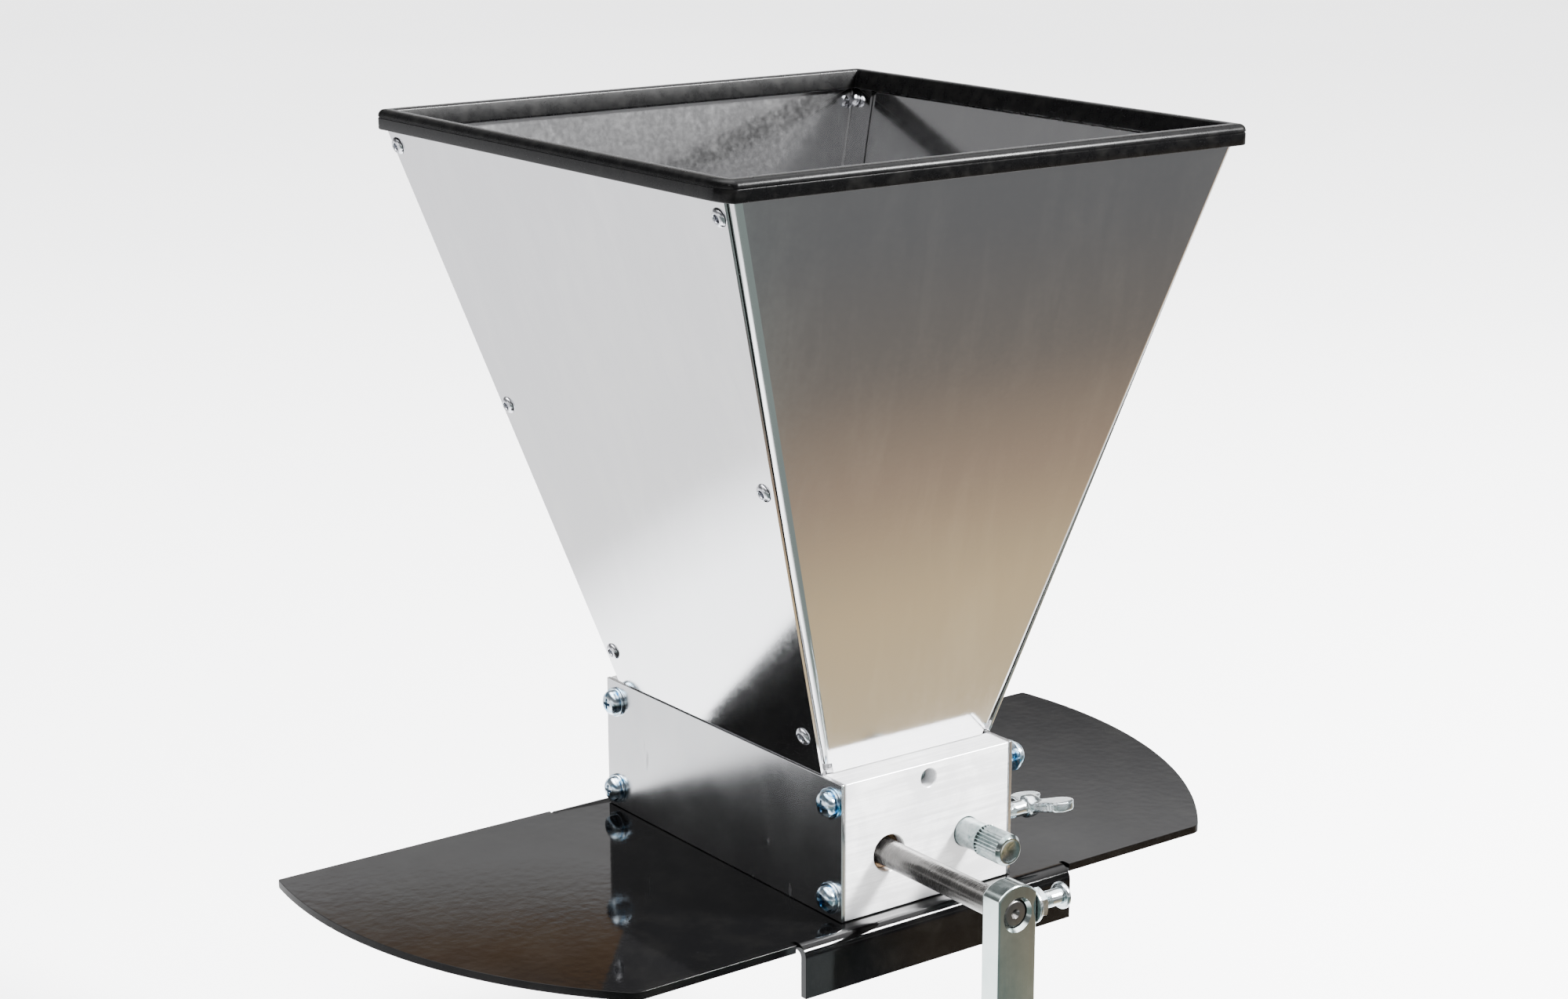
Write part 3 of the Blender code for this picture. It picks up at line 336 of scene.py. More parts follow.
def grip_plastic():
    """Moulded black plastic with a fine spark texture."""
    f = Finish("grip_plastic", (0.005, 0.005, 0.005), 0.42, 0.0, Specular_IOR_Level=0.3)
    grain = f.noise(1100.0, 3.0, 0.6)
    wear = f.noise(55.0, 5.0, 0.65)
    f.colour(f.blend(f.spread(wear, 0.5, 0.8), (0.0035, 0.0035, 0.0037), (0.010, 0.0096, 0.0092)))
    f.rough(f.math("ADD", f.spread(grain, 0.3, 0.7, 0.36, 0.46), f.spread(wear, 0.4, 0.8, 0.0, -0.10)))
    f.bump(grain, 0.28, 0.00006)
    return f.material


def rivet_aluminium():
    f = Finish("rivet_aluminium", (0.74, 0.74, 0.76), 0.28, 1.0)
    marks = f.noise(700.0, 4.0, 0.65, 0.5)
    f.colour(f.blend(f.spread(marks, 0.35, 0.7), (0.42, 0.43, 0.46), (0.66, 0.66, 0.69)))
    f.rough(f.spread(marks, 0.3, 0.7, 0.16, 0.28))
    f.bump(marks, 0.15, 0.00005)
    return f.material


SILVER_ZINC = zinc("zinc", (0.62, 0.66, 0.67), (0.38, 0.46, 0.49))
BLUE_ZINC = zinc("zinc_blue", (0.66, 0.74, 0.80), (0.05, 0.24, 0.42))
# A darker copy of the zinc, as painted shade: it darkens the hopper screws deep in their counterbores and the
# adjuster knob.
SHADED_ZINC = zinc("zinc_painted_shade", (0.30, 0.34, 0.34), (0.10, 0.14, 0.14))
MATERIALS = {
    "hopper_steel": hopper_steel(),
    "plate_aluminium": plate_aluminium(),
    "panel_steel": panel_steel(),
    "black_paint": black_paint(),
    "roller_steel": turned_steel(
        "roller_steel", (0.22, 0.22, 0.225), (0.34, 0.34, 0.345), roughness=0.36, rings=500.0, bump=0.05),
    "ground_steel": turned_steel(
        "ground_steel", (0.10, 0.097, 0.093), (0.155, 0.15, 0.145), roughness=0.25, rings=5000.0, bump=0.03),
    "zinc": SILVER_ZINC,
    "crank_steel": crank_steel(),
    "bronze": bronze(),
    "black_rubber": black_rubber(),
    "grip_plastic": grip_plastic(),
    "rivet_aluminium": rivet_aluminium(),
}


# ---- building blocks ---------------------------------------------------------------------------
def add(name, bm, place=None):
    """Turn a bmesh into an object whose mesh is in the frame's own coordinates."""
    if place is not None:
        bm.transform(place)
    bmesh.ops.recalc_face_normals(bm, faces=bm.faces)
    mesh = bpy.data.meshes.new(name)
    bm.to_mesh(mesh)
    bm.free()
    obj = bpy.data.objects.new(name, mesh)
    bpy.context.scene.collection.objects.link(obj)
    return obj


def settle(obj):
    """Apply an object's modifiers."""
    bpy.context.view_layer.update()
    depsgraph = bpy.context.evaluated_depsgraph_get()
    mesh = bpy.data.meshes.new_from_object(obj.evaluated_get(depsgraph), depsgraph=depsgraph)
    old = obj.data
    obj.modifiers.clear()
    obj.data = mesh
    mesh.name = obj.name
    bpy.data.meshes.remove(old)
    return obj


def carve(obj, *cutters, operation="DIFFERENCE"):
    """Boolean with each cutter in turn. The cutters are used up."""
    for cutter in cutters:
        modifier = obj.modifiers.new("carve", "BOOLEAN")
        modifier.operation = operation
        modifier.object = cutter
        modifier.solver = "EXACT"
    settle(obj)
    for cutter in cutters:
        bpy.data.objects.remove(cutter, do_unlink=True)
    return obj


def ease(obj, width, segments=2, angle=35.0):
    """Round the edges sharper than an angle."""
    bevel = obj.modifiers.new("ease", "BEVEL")
    bevel.width = width
    bevel.segments = segments
    bevel.limit_method = "ANGLE"
    bevel.angle_limit = math.radians(angle)
    bevel.use_clamp_overlap = True
    settle(obj)
    return obj


def smooth(obj, angle=35.0, weighted=False):
    obj.data.shade_smooth()
    obj.data.set_sharp_from_angle(angle=math.radians(angle))
    if weighted:
        modifier = obj.modifiers.new("flats", "WEIGHTED_NORMAL")
        modifier.keep_sharp = True
        settle(obj)
    return obj


def stand_in(obj, slot, *nodes, material=None):
    """Give a finished piece its material, chosen by slot, and its body, in place of CAD nodes, which it hides."""
    obj.data.materials.clear()
    obj.data.materials.append(material or MATERIALS[slot])
    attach(obj, BODY_OF[nodes[0]])
    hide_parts(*nodes)
    return obj


def soften(points, radius, steps=4, closed=False):
    """Round the corners of an outline or profile."""
    result = []
    count = len(points)
    for i, point in enumerate(points):
        if not closed and i in (0, count - 1):
            result.append(tuple(point))
            continue
        before, here, after = Vector(points[i - 1]), Vector(point), Vector(points[(i + 1) % count])
        reach = min(radius, 0.45 * (here - before).length, 0.45 * (after - here).length)
        start = here + (before - here).normalized() * reach
        end = here + (after - here).normalized() * reach
        for k in range(steps + 1):
            t = k / steps
            result.append(tuple(start * (1 - t) ** 2 + here * 2 * t * (1 - t) + end * t * t))
    return result


def lathe(name, profile, place, segments=64, closed=False, relief=None):
    """Spin (radius, height) points about local Z. relief(angle, radius, height) may change a radius."""
    bm = bmesh.new()
    rings = []
    for radius, height in profile:
        if radius < 1e-7:
            rings.append([bm.verts.new((0.0, 0.0, height))])
            continue
        ring = []
        for i in range(segments):
            angle = math.tau * i / segments
            r = relief(angle, radius, height) if relief else radius
            ring.append(bm.verts.new((r * math.cos(angle), r * math.sin(angle), height)))
        rings.append(ring)
    for a, b in zip(rings, rings[1:] + (rings[:1] if closed else [])):
        for i in range(segments):
            j = (i + 1) % segments
            if len(a) > 1 and len(b) > 1:
                bm.faces.new((a[i], b[i], b[j], a[j]))
            elif len(b) > 1:
                bm.faces.new((a[0], b[i], b[j]))
            elif len(a) > 1:
                bm.faces.new((a[i], b[0], a[j]))
    return add(name, bm, place)


def along(point, direction):
    """Placement at a point, with local +Z along a direction."""
    turn = UP.rotation_difference(Vector(direction)).to_matrix().to_4x4()
    return Matrix.Translation(point) @ turn


def far_end(node, direction):
    """Placement at the end of a straight piece, facing out along an axis."""
    low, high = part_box(node)
    half = (high - low) / 2
    step = Vector([d * h for d, h in zip(direction, half)])
    return along((low + high) / 2 + step, direction)


def reach_of(node, direction):
    """Length of a node's box along an axis."""
    low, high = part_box(node)
    return abs((high - low).dot(Vector(direction)))


def slab(name, low, high):
    bm = bmesh.new()
    low, high = Vector(low), Vector(high)
    size = Matrix.Diagonal((*(high - low), 1.0))
    bmesh.ops.create_cube(bm, size=1.0, matrix=Matrix.Translation((low + high) / 2) @ size)
    return add(name, bm)


def prism(name, outline, low, high, place):
    """Flat outline in local XY, extruded from low to high along local Z."""
    bm = bmesh.new()
    face = bm.faces.new([bm.verts.new((x, y, low)) for x, y in outline])
    top = bmesh.ops.extrude_face_region(bm, geom=[face])
    raised = [v for v in top["geom"] if isinstance(v, bmesh.types.BMVert)]
    bmesh.ops.translate(bm, vec=(0, 0, high - low), verts=raised)
    return add(name, bm, place)


def arc(centre, radius, start, end, steps):
    angles = [math.radians(start + (end - start) * i / steps) for i in range(steps + 1)]
    return [(centre[0] + radius * math.cos(a), centre[1] + radius * math.sin(a)) for a in angles]


def refined(node, width, segments=2, angle=20.0):
    """Fine copy of a CAD node: merged flats and rounded edges."""
    source = frame["nodes"][node]
    bm = bmesh.new()
    bm.from_mesh(source.data)
    bmesh.ops.remove_doubles(bm, verts=bm.verts, dist=1e-6)
    bmesh.ops.dissolve_limit(bm, angle_limit=math.radians(0.5), verts=bm.verts, edges=bm.edges)
    obj = add(node + "_fine", bm)
    ease(obj, width, segments, angle)
    return smooth(obj, 40.0, weighted=True)


# ---- fasteners ---------------------------------------------------------------------------------
def cross_recess(size, depth, place):
    """Two tapered blades that cut a cross, from just above local z = 0 down."""
    blades = []
    for long_x in (True, False):
        bm = bmesh.new()
        bmesh.ops.create_cube(bm, size=1.0)
        for v in bm.verts:
            taper = 1.0 if v.co.z > 0 else 0.42
            wide, thin = size * taper, 0.24 * size * (1.0 if v.co.z > 0 else 0.7)
            v.co.x *= wide if long_x else thin
            v.co.y *= thin if long_x else wide
            v.co.z = 0.3 * MM if v.co.z > 0 else -depth
        blades.append(add("recess", bm, place))
    return blades


def thread_relief(pitch, depth, start):
    """Helical groove on a stem, below a height."""
    def relief(angle, radius, height):
        if height > start:
            return radius
        phase = (height / pitch - angle / math.tau) % 1.0
        return radius - depth * abs(2.0 * phase - 1.0)
    return relief


def pan_profile(head_r, head_h, dome):
    """Domed head, from its top at z = 0 down to its underside."""
    points = []
    for i in range(11):
        t = math.radians(90.0 * i / 10)
        points.append((head_r * math.sin(t) ** 0.85, -dome * (1.0 - math.cos(t))))
    return points + [(head_r, -head_h + 0.2 * MM), (head_r - 0.2 * MM, -head_h)]


def captive_screw(node, direction):
    """Cross-recessed pan head on a captive washer, with a rolled thread."""
    place = far_end(node, direction)
    total = reach_of(node, direction)
    seat = -SCREW_HEAD_H - SCREW_WASHER_T
    head = pan_profile(SCREW_HEAD_R, SCREW_HEAD_H, 2.5 * MM)
    washer = soften([(SCREW_HEAD_R - 0.2 * MM, -SCREW_HEAD_H), (SCREW_WASHER_R, -SCREW_HEAD_H),
                     (SCREW_WASHER_R, seat), (SCREW_R, seat)], 0.25 * MM, 3)
    turns = int((total + seat) / THREAD_PITCH * 6)
    stem = [(SCREW_R, seat - (total + seat) * i / turns) for i in range(1, turns)]
    tip = [(SCREW_R - 0.9 * MM, -total), (0.0, -total)]
    screw = lathe(node + "_fine", head + washer[1:] + stem + tip, place, 48,
                  relief=thread_relief(THREAD_PITCH, THREAD_DEPTH, seat - 0.5 * MM))
    carve(screw, *cross_recess(5.0 * MM, 2.0 * MM, place))
    smooth(screw, 38.0)
    return stand_in(screw, "zinc", node, material=BLUE_ZINC)


def side_slope():
    """Angle of the hopper's side panels from upright."""
    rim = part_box("hopper_right_panel")[1]
    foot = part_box("right_side_panel")[1]
    return math.atan2(rim.x - (foot.x - 0.4 * MM), rim.z - (foot.z + 0.4 * MM))


SLOPE = side_slope()


def blind_rivet(node):
    """Dome ring round the broken end of its mandrel."""
    side = 1.0 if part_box(node)[0].x > 0 else -1.0
    normal = Vector((side * math.cos(SLOPE), 0.0, -math.sin(SLOPE)))
    points = [v.co for v in frame["nodes"][node].data.vertices]
    centre = sum(points, Vector()) / len(points)
    top = max(p.dot(normal) for p in points)
    bottom = min(p.dot(normal) for p in points)
    place = along(centre + normal * (top - centre.dot(normal)), normal)
    length = top - bottom
    dome = [(0.0, -3.4 * MM), (0.9 * MM, -3.4 * MM), (1.20 * MM, -3.2 * MM), (1.42 * MM, -0.60 * MM),
            (1.60 * MM, -0.14 * MM), (1.90 * MM, 0.0), (2.45 * MM, -0.16 * MM), (3.00 * MM, -0.58 * MM),
            (3.32 * MM, -1.05 * MM), (3.40 * MM, -1.28 * MM), (RIVET_R, -1.30 * MM)]
    blind = [(RIVET_R, 2.7 * MM - length), (2.5 * MM, 2.2 * MM - length), (2.5 * MM, 0.8 * MM - length),
             (1.6 * MM, 0.1 * MM - length), (0.0, -length)]
    profile = soften(dome[:-1], 0.12 * MM, 2) + [dome[-1]] + soften(blind, 0.4 * MM, 4)
    rivet = lathe(node + "_fine", profile, place, 40)
    smooth(rivet, 50.0)
    return stand_in(rivet, "rivet_aluminium", node)


def fine_nut(node, direction, across, hole_r):
    """Hexagon nut with its corners turned off, and a chamfered bore."""
    place = far_end(node, direction)
    height = reach_of(node, direction)
    corner = across / math.sqrt(3.0)
    outline = arc((0.0, 0.0), corner, 0, 300, 5)
    nut = prism(node + "_fine", outline, -height, 0.0, place)
    drop = (corner - across / 2) * 0.62
    flat_r = across / 2 - 0.1 * MM
    outside = corner + 0.05 * MM
    past = 0.01 * MM
    barrel = lathe("barrel", [(0.0, past), (flat_r, past), (outside, -drop), (outside, drop - height),
                              (flat_r, -height - past), (0.0, -height - past)], place, 72)
    carve(nut, barrel, operation="INTERSECT")
    mouth = hole_r + 1.5 * MM
    bore = lathe("bore", [(0.0, MM), (mouth, MM), (hole_r, -0.5 * MM), (hole_r, 0.5 * MM - height),
                          (mouth, -height - MM), (0.0, -height - MM)], place, 48)
    carve(nut, bore)
    ease(nut, 0.1 * MM, 2, 30.0)
    smooth(nut, 40.0, weighted=True)
    return stand_in(nut, "zinc", node)


def ring(node, direction, outer, inner, slot, edge):
    """Washer or bush with rounded edges."""
    length = reach_of(node, direction)
    corners = [(outer, 0.0), (outer, -length), (inner, -length), (inner, 0.0)]
    profile = soften(corners, edge, 4, closed=True)
    piece = lathe(node + "_fine", profile, far_end(node, direction), 64, closed=True)
    smooth(piece, 40.0)
    return stand_in(piece, slot, node)


# ---- base and body -----------------------------------------------------------------------------
def base():
    plate = refined("base_plate", 0.35 * MM, 3, 30.0)
    stand_in(plate, "black_paint", "base_plate")
    for end in ("front", "rear"):
        for side in ("left", "right"):
            captive_screw(f"base_screw_{end}_{side}", (0, 0, -1))


def bore_cutter(place, radius, depth, edge=0.3 * MM, through=False):
    """Round cutter from a face at local z = 0 down, with a broken edge."""
    bottom = -depth - (MM if through else 0.0)
    return lathe("bore", [(0.0, MM), (radius + edge + MM, MM), (radius, -edge), (radius, bottom),
                          (0.0, bottom)], place, 64)


def end_plate(end_name):
    node = end_name + "_end_plate"
    low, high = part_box(node)
    end = -1.0 if end_name == "front" else 1.0
    outer_y = low.y if end < 0 else high.y
    inner_y = high.y if end < 0 else low.y
    middle_y = (low.y + high.y) / 2
    thick = high.y - low.y
    plate = slab(node + "_fine", low, high)
    ease(plate, 0.45 * MM, 3)
    drive = JOINT["crank_turn"]
    lock = JOINT["gap_adjust"]
    outward = (0, end, 0)
    screw_low, screw_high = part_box("hopper_screw_" + end_name)
    hopper_z = (screw_low.z + screw_high.z) / 2
    cutters = [
        bore_cutter(along((drive.x, outer_y, drive.z), outward), SHAFT_HOLE_R, thick, 0.4 * MM, True),
        bore_cutter(along((drive.x, inner_y, drive.z), (0, -end, 0)), BUSH_SEAT_R, BUSH_SEAT_DEPTH),
        bore_cutter(along((lock.x, outer_y, lock.z), outward), ADJUSTER_HOLE_R[end_name], thick,
                    through=True),
        bore_cutter(along((0, outer_y, hopper_z), outward), COUNTERBORE_R, COUNTERBORE_DEPTH, 0.35 * MM),
        bore_cutter(along((0, inner_y, hopper_z), (0, -end, 0)), HOPPER_SCREW_R + 0.3 * MM, thick,
                    0.2 * MM)]
    for side_name, side in (("left", -1), ("right", 1)):
        face_x = low.x if side < 0 else high.x
        for level in ("lower", "upper"):
            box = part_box(f"side_screw_{side_name}_{end_name}_{level}")
            z = (box[0].z + box[1].z) / 2
            place = along((face_x, middle_y, z), (side, 0, 0))
            cutters.append(bore_cutter(place, TAP_R, SIDE_SCREW_DEPTH))
        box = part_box(f"base_screw_{end_name}_{side_name}")
        x = (box[0].x + box[1].x) / 2
        cutters.append(bore_cutter(along((x, middle_y, low.z), (0, 0, -1)), TAP_R, BASE_SCREW_DEPTH))
    if end < 0:
        wing = JOINT["wing_screw_turn"]
        place = along((high.x, wing.y, wing.z), (1, 0, 0))
        cutters.append(bore_cutter(place, LOCK_HOLE_R, high.x - lock.x - COLLAR_R / 2))
    carve(plate, *cutters)
    smooth(plate, 40.0, weighted=True)
    stand_in(plate, "plate_aluminium", node)


def roller_box():
    for end_name in ("front", "rear"):
        end_plate(end_name)
    for side_name, side in (("left", -1), ("right", 1)):
        panel = refined(side_name + "_side_panel", 0.18 * MM, 2, 40.0)
        stand_in(panel, "panel_steel", side_name + "_side_panel")
        for end_name in ("front", "rear"):
            for level in ("lower", "upper"):
                captive_screw(f"side_screw_{side_name}_{end_name}_{level}", (side, 0, 0))


# ---- hopper ------------------------------------------------------------------------------------
def hopper_panels():
    for side in ("front", "rear", "left", "right"):
        node = f"hopper_{side}_panel"
        stand_in(refined(node, 0.14 * MM, 2, 40.0), "hopper_steel", node)


def corner_loop(half_x, y_front, y_rear, corners, steps=12):
    """Counterclockwise loop of a rectangle whose corners are quarter ellipses of (x, y) radii."""
    points = []
    for (side, y, start), (across, along_y) in zip(
            ((1, y_rear, 0), (-1, y_rear, 90), (-1, y_front, 180), (1, y_front, 270)), corners):
        middle_x = side * (half_x - across)
        middle_y = y - math.copysign(along_y, y)
        points += [(middle_x + across * cx, middle_y + along_y * cy)
                   for cx, cy in arc((0.0, 0.0), 1.0, start, start + 90, steps)]
    return points


def rim_trim():
    """Rubber channel on the rim: a rounded top, an upright outer face and a fine groove between."""
    low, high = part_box("rim_trim")
    bottom, top = low.z, high.z
    slot_top = top - 0.9 * TRIM_WALL
    inner = TRIM_SLOT + TRIM_WALL
    shoulder = 2.5 * MM
    round_top = [(TRIM_SWELL - shoulder * (1 - math.cos(a)),
                  top - shoulder + shoulder * math.sin(a))
                 for a in [math.radians(10.0 * i) for i in range(10)]]
    groove_top = top - shoulder
    groove_in = TRIM_SWELL - 0.30 * MM
    groove = [(TRIM_SWELL, groove_top - 0.75 * MM), (groove_in, groove_top - 0.50 * MM),
              (groove_in, groove_top - 0.25 * MM)]
    lip = [(TRIM_SWELL - 0.45 * MM, bottom), (TRIM_SWELL - 0.05 * MM, bottom + 0.35 * MM)]
    outside = lip + groove + round_top
    inside = soften([(0.4 * MM, top), (-inner, top), (-inner, bottom), (-TRIM_SLOT, bottom),
                     (-TRIM_SLOT, slot_top), (0.3 * MM, slot_top), (0.3 * MM, bottom)], 0.7 * MM, 5)[1:]
    section = [(offset, z, bottom) for offset, z in outside] + [(offset, z, z) for offset, z in inside]
    bm = bmesh.new()
    loops = []
    for offset, z, panel_z in section:
        rise = panel_z - bottom
        grow = offset - TRIM_SWELL
        corners = [[max(0.4 * MM, r * MM + grow) for r in radii] for radii in TRIM_CORNERS]
        loop = corner_loop(high.x + rise * math.tan(SLOPE) + grow,
                           low.y - rise * math.tan(FRONT_SLOPE) - grow,
                           high.y + rise * math.tan(REAR_SLOPE) + grow, corners)
        loops.append([bm.verts.new((x, y, z)) for x, y in loop])
    for a, b in zip(loops, loops[1:] + loops[:1]):
        for i in range(len(a)):
            j = (i + 1) % len(a)
            bm.faces.new((a[i], a[j], b[j], b[i]))
    trim = add("rim_trim_fine", bm)
    smooth(trim, 50.0)
    stand_in(trim, "black_rubber", "rim_trim")


def hopper_screws():
    for end_name, end in (("front", -1), ("rear", 1)):
        node = "hopper_screw_" + end_name
        place = far_end(node, (0, end, 0))
        total = reach_of(node, (0, 1, 0))
        head_r = (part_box(node)[1].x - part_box(node)[0].x) / 2
        head_h = 2.2 * MM
        profile = pan_profile(head_r, head_h, 1.2 * MM) + [
            (HOPPER_SCREW_R, -head_h - 0.05 * MM), (HOPPER_SCREW_R, 0.5 * MM - total),
            (HOPPER_SCREW_R - 0.5 * MM, -total), (0.0, -total)]
        screw = lathe(node + "_fine", profile, place, 48)
        carve(screw, *cross_recess(3.4 * MM, 1.5 * MM, place))
        smooth(screw, 38.0)
        # The darker zinc copy is painted shade for the screw deep in its counterbore.
        stand_in(screw, "zinc", node, material=SHADED_ZINC)
        fine_nut("hopper_nut_" + end_name, (0, -end, 0), 7.0 * MM, HOPPER_SCREW_R + CLOSE_FIT)


def hopper():
    hopper_panels()
    for node in sorted(frame["nodes"]):
        if node.startswith("hopper_rivet_"):
            blind_rivet(node)
    rim_trim()
    hopper_screws()


# ---- rollers and adjuster ----------------------------------------------------------------------
def knurl_relief(count, pitch, depth, half):
    """Diamond knurl, fading at the roller's ends."""
    def wave(value):
        return abs(2.0 * (value % 1.0) - 1.0)

    def relief(angle, radius, height):
        turn = angle / math.tau * count
        shade = min(1.0, max(0.0, (half - abs(height)) / MM - 0.8))
        crest = min(wave(turn + height / pitch), wave(turn - height / pitch))
        return radius - depth * shade * (1.0 - crest)
    return relief


def roller(node, bore):
    """Knurled roller. bore(half) gives its inside's profile, from the front end to the rear end."""
    low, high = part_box(node)
    centre = (low + high) / 2
    half = (high.y - low.y) / 2
    radius = (high.x - low.x) / 2
    edge = 0.8 * MM
    step = 0.6875 * MM
    count = int((2 * half - 2 * edge) / step)
    skin = [(radius, half - edge - (2 * half - 2 * edge) * i / count) for i in range(count + 1)]
    profile = [(radius - edge, half)] + skin + [(radius - edge, -half)] + bore(half)
    place = along(centre, (0, 1, 0))
    piece = lathe(node + "_fine", profile, place, 160, closed=True,
                  relief=lambda a, r, h: knurl(a, r, h) if r > radius - 1e-7 else r)
    smooth(piece, 30.0)
    return stand_in(piece, "roller_steel", node)


knurl = knurl_relief(count=40, pitch=2.75 * MM, depth=0.45 * MM, half=62.7 * MM)


def plain_bore(half):
    return [(5.15 * MM, -half), (5.15 * MM, half)]


def bushed_bore(half):
    seat = half - 15.3 * MM
    seat_r = 7.15 * MM
    core_r = 5.7 * MM
    return [(seat_r, -half), (seat_r, -seat), (core_r, -seat), (core_r, seat), (seat_r, seat),
            (seat_r, half)]


def drive_shaft():
    low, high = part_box("drive_shaft")
    radius = (high.x - low.x) / 2
    length = high.y - low.y
    chamfer = 0.7 * MM
    centre_hole = [(0.0, -1.75 * MM), (0.35 * MM, -1.70 * MM), (1.55 * MM, -0.25 * MM), (1.75 * MM, 0.0)]
    profile = soften([centre_hole[-1], (radius - chamfer, 0.0), (radius, -chamfer),
                      (radius, chamfer - length), (radius - chamfer, -length), (0.0, -length)], 0.2 * MM, 3)
    shaft = lathe("drive_shaft_fine", centre_hole + profile[1:], far_end("drive_shaft", (0, -1, 0)), 96)
    smooth(shaft, 32.0)
    stand_in(shaft, "ground_steel", "drive_shaft")


def gap_adjuster():
    """Fluted knob and collar at the front, the eccentric shaft and its rear journal behind."""
    low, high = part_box("gap_adjuster")
    axis = JOINT["gap_adjust"]
    knob_r = axis.x - low.x
    place = along((axis.x, low.y, axis.z), (0, -1, 0))
    neck = low.y + ECCENTRIC_HALF
    knurl_end = 1.9 * MM

    def flutes(angle, radius, height):
        if radius < knob_r - 1e-6 or not -KNURL_LENGTH + 1.2 * MM < height < -knurl_end:
            return radius
        phase = angle / math.tau * KNOB_TEETH % 1.0
        return radius - KNOB_TOOTH_DEPTH * abs(2.0 * phase - 1.0)

    face = [(0.0, -0.35 * MM), (3.2 * MM, -0.30 * MM), (4.1 * MM, -0.10 * MM), (4.4 * MM, 0.0)]
    nose = soften([face[-1], (knob_r - 1.1 * MM, 0.0), (knob_r, -1.3 * MM)], 0.15 * MM, 3)
    steps = 16
    start, end = -knurl_end - 0.05 * MM, -KNURL_LENGTH + 1.25 * MM
    teeth = [(knob_r, start + (end - start) * i / steps) for i in range(1, steps + 1)]
    skin = [(knob_r, start - 0.01 * MM)] + teeth + [(knob_r, -KNURL_LENGTH + 1.15 * MM)]
    collar = soften([(knob_r, -KNURL_LENGTH + 0.5 * MM), (knob_r - 0.5 * MM, -KNURL_LENGTH),
                     (COLLAR_R, -KNURL_LENGTH - 0.1 * MM), (COLLAR_R, neck), (0.0, neck)], 0.15 * MM, 3)
    adjuster = lathe("gap_adjuster_fine", face + nose[1:] + skin + collar, place, 8 * KNOB_TEETH,
                     relief=flutes)
    idler = JOINT["idler_turn"]
    front_z, rear_z = ECCENTRIC_HALF + MM, -ECCENTRIC_HALF
    eccentric = lathe("eccentric", [(0.0, front_z), (ECCENTRIC_R, front_z), (ECCENTRIC_R, rear_z),
                                    (0.0, rear_z)], along((idler.x, 0.0, idler.z), (0, -1, 0)), 64)
    journal = soften([(0.0, rear_z + MM), (REAR_JOURNAL_R, rear_z + MM), (REAR_JOURNAL_R, -high.y),
                      (0.0, -high.y)], 0.5 * MM, 3)
    rear = lathe("journal", journal, along((axis.x, 0.0, axis.z), (0, -1, 0)), 64)
    carve(adjuster, eccentric, rear, operation="UNION")
    smooth(adjuster, 38.0)
    # The darker zinc copy is painted shade on the knob, collar and eccentric.
    stand_in(adjuster, "zinc", "gap_adjuster", material=SHADED_ZINC)


def wing_screw():
    """Cast wing screw: a stem, a boss and two rounded wings."""
    tip_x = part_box("wing_screw")[0].x
    joint = JOINT["wing_screw_turn"]
    stem_r = 3.0 * MM
    boss_r = 4.4 * MM
    boss = joint.x
    tilt = Matrix.Rotation(-WING_TURN, 4, "X")
    centre = Matrix.Translation((0.0, joint.y, joint.z))
    bar = [(0.0, boss + 7.0 * MM), (0.72 * boss_r, boss + 7.0 * MM), (boss_r, boss + 4.0 * MM),
           (boss_r, boss + 0.6 * MM), (boss_r - 0.6 * MM, boss), (stem_r, boss), (stem_r, boss - 6.0 * MM),
           (0.0, boss - 6.0 * MM)]
    body = lathe("wing_screw_fine", soften(bar, 0.8 * MM, 5), centre @ along((0, 0, 0), (1, 0, 0)), 64)
    lobes = []
    half_t = WING_LOBE_T / 2
    root_r = 0.8 * boss_r
    for side in (-1, 1):
        root = Vector((boss + root_r, side * root_r / 2))
        middle = Vector((boss + WING_LOBE_REACH, side * WING_LOBE_REACH))
        way = middle - root
        across = Vector((-way.y, way.x)).normalized()
        web = [root + across * root_r, root - across * root_r, middle - across * 0.97 * WING_LOBE_R,
               middle + across * 0.97 * WING_LOBE_R]
        disc = arc(middle, WING_LOBE_R, 0, 360, 48)[:-1]
        lobes.append(prism("wing", disc, -half_t, half_t, centre @ tilt))
        lobes.append(prism("web", web, 0.05 * MM - half_t, half_t - 0.05 * MM, centre @ tilt))
    carve(body, *lobes, operation="UNION")
    remesh = body.modifiers.new("skin", "REMESH")
    remesh.mode = "VOXEL"
    remesh.voxel_size = 0.30 * MM
    relax = body.modifiers.new("relax", "SMOOTH")
    relax.iterations = 22
    relax.factor = 0.5
    settle(body)
    root_x = boss - 5.0 * MM
    length = root_x - tip_x
    chamfer = 0.6 * MM
    turns = int(length / THREAD_PITCH * 6)
    stem = [(0.0, -length), (stem_r - chamfer, -length)]
    stem += [(stem_r, -length + chamfer + (length - chamfer) * i / turns) for i in range(turns + 1)]
    rod = lathe("stem", stem + [(0.0, 0.0)], centre @ along((root_x, 0, 0), (1, 0, 0)), 48,
                relief=thread_relief(THREAD_PITCH, THREAD_DEPTH, -chamfer))
    carve(body, rod, operation="UNION")
    smooth(body, 42.0)
    stand_in(body, "zinc", "wing_screw")


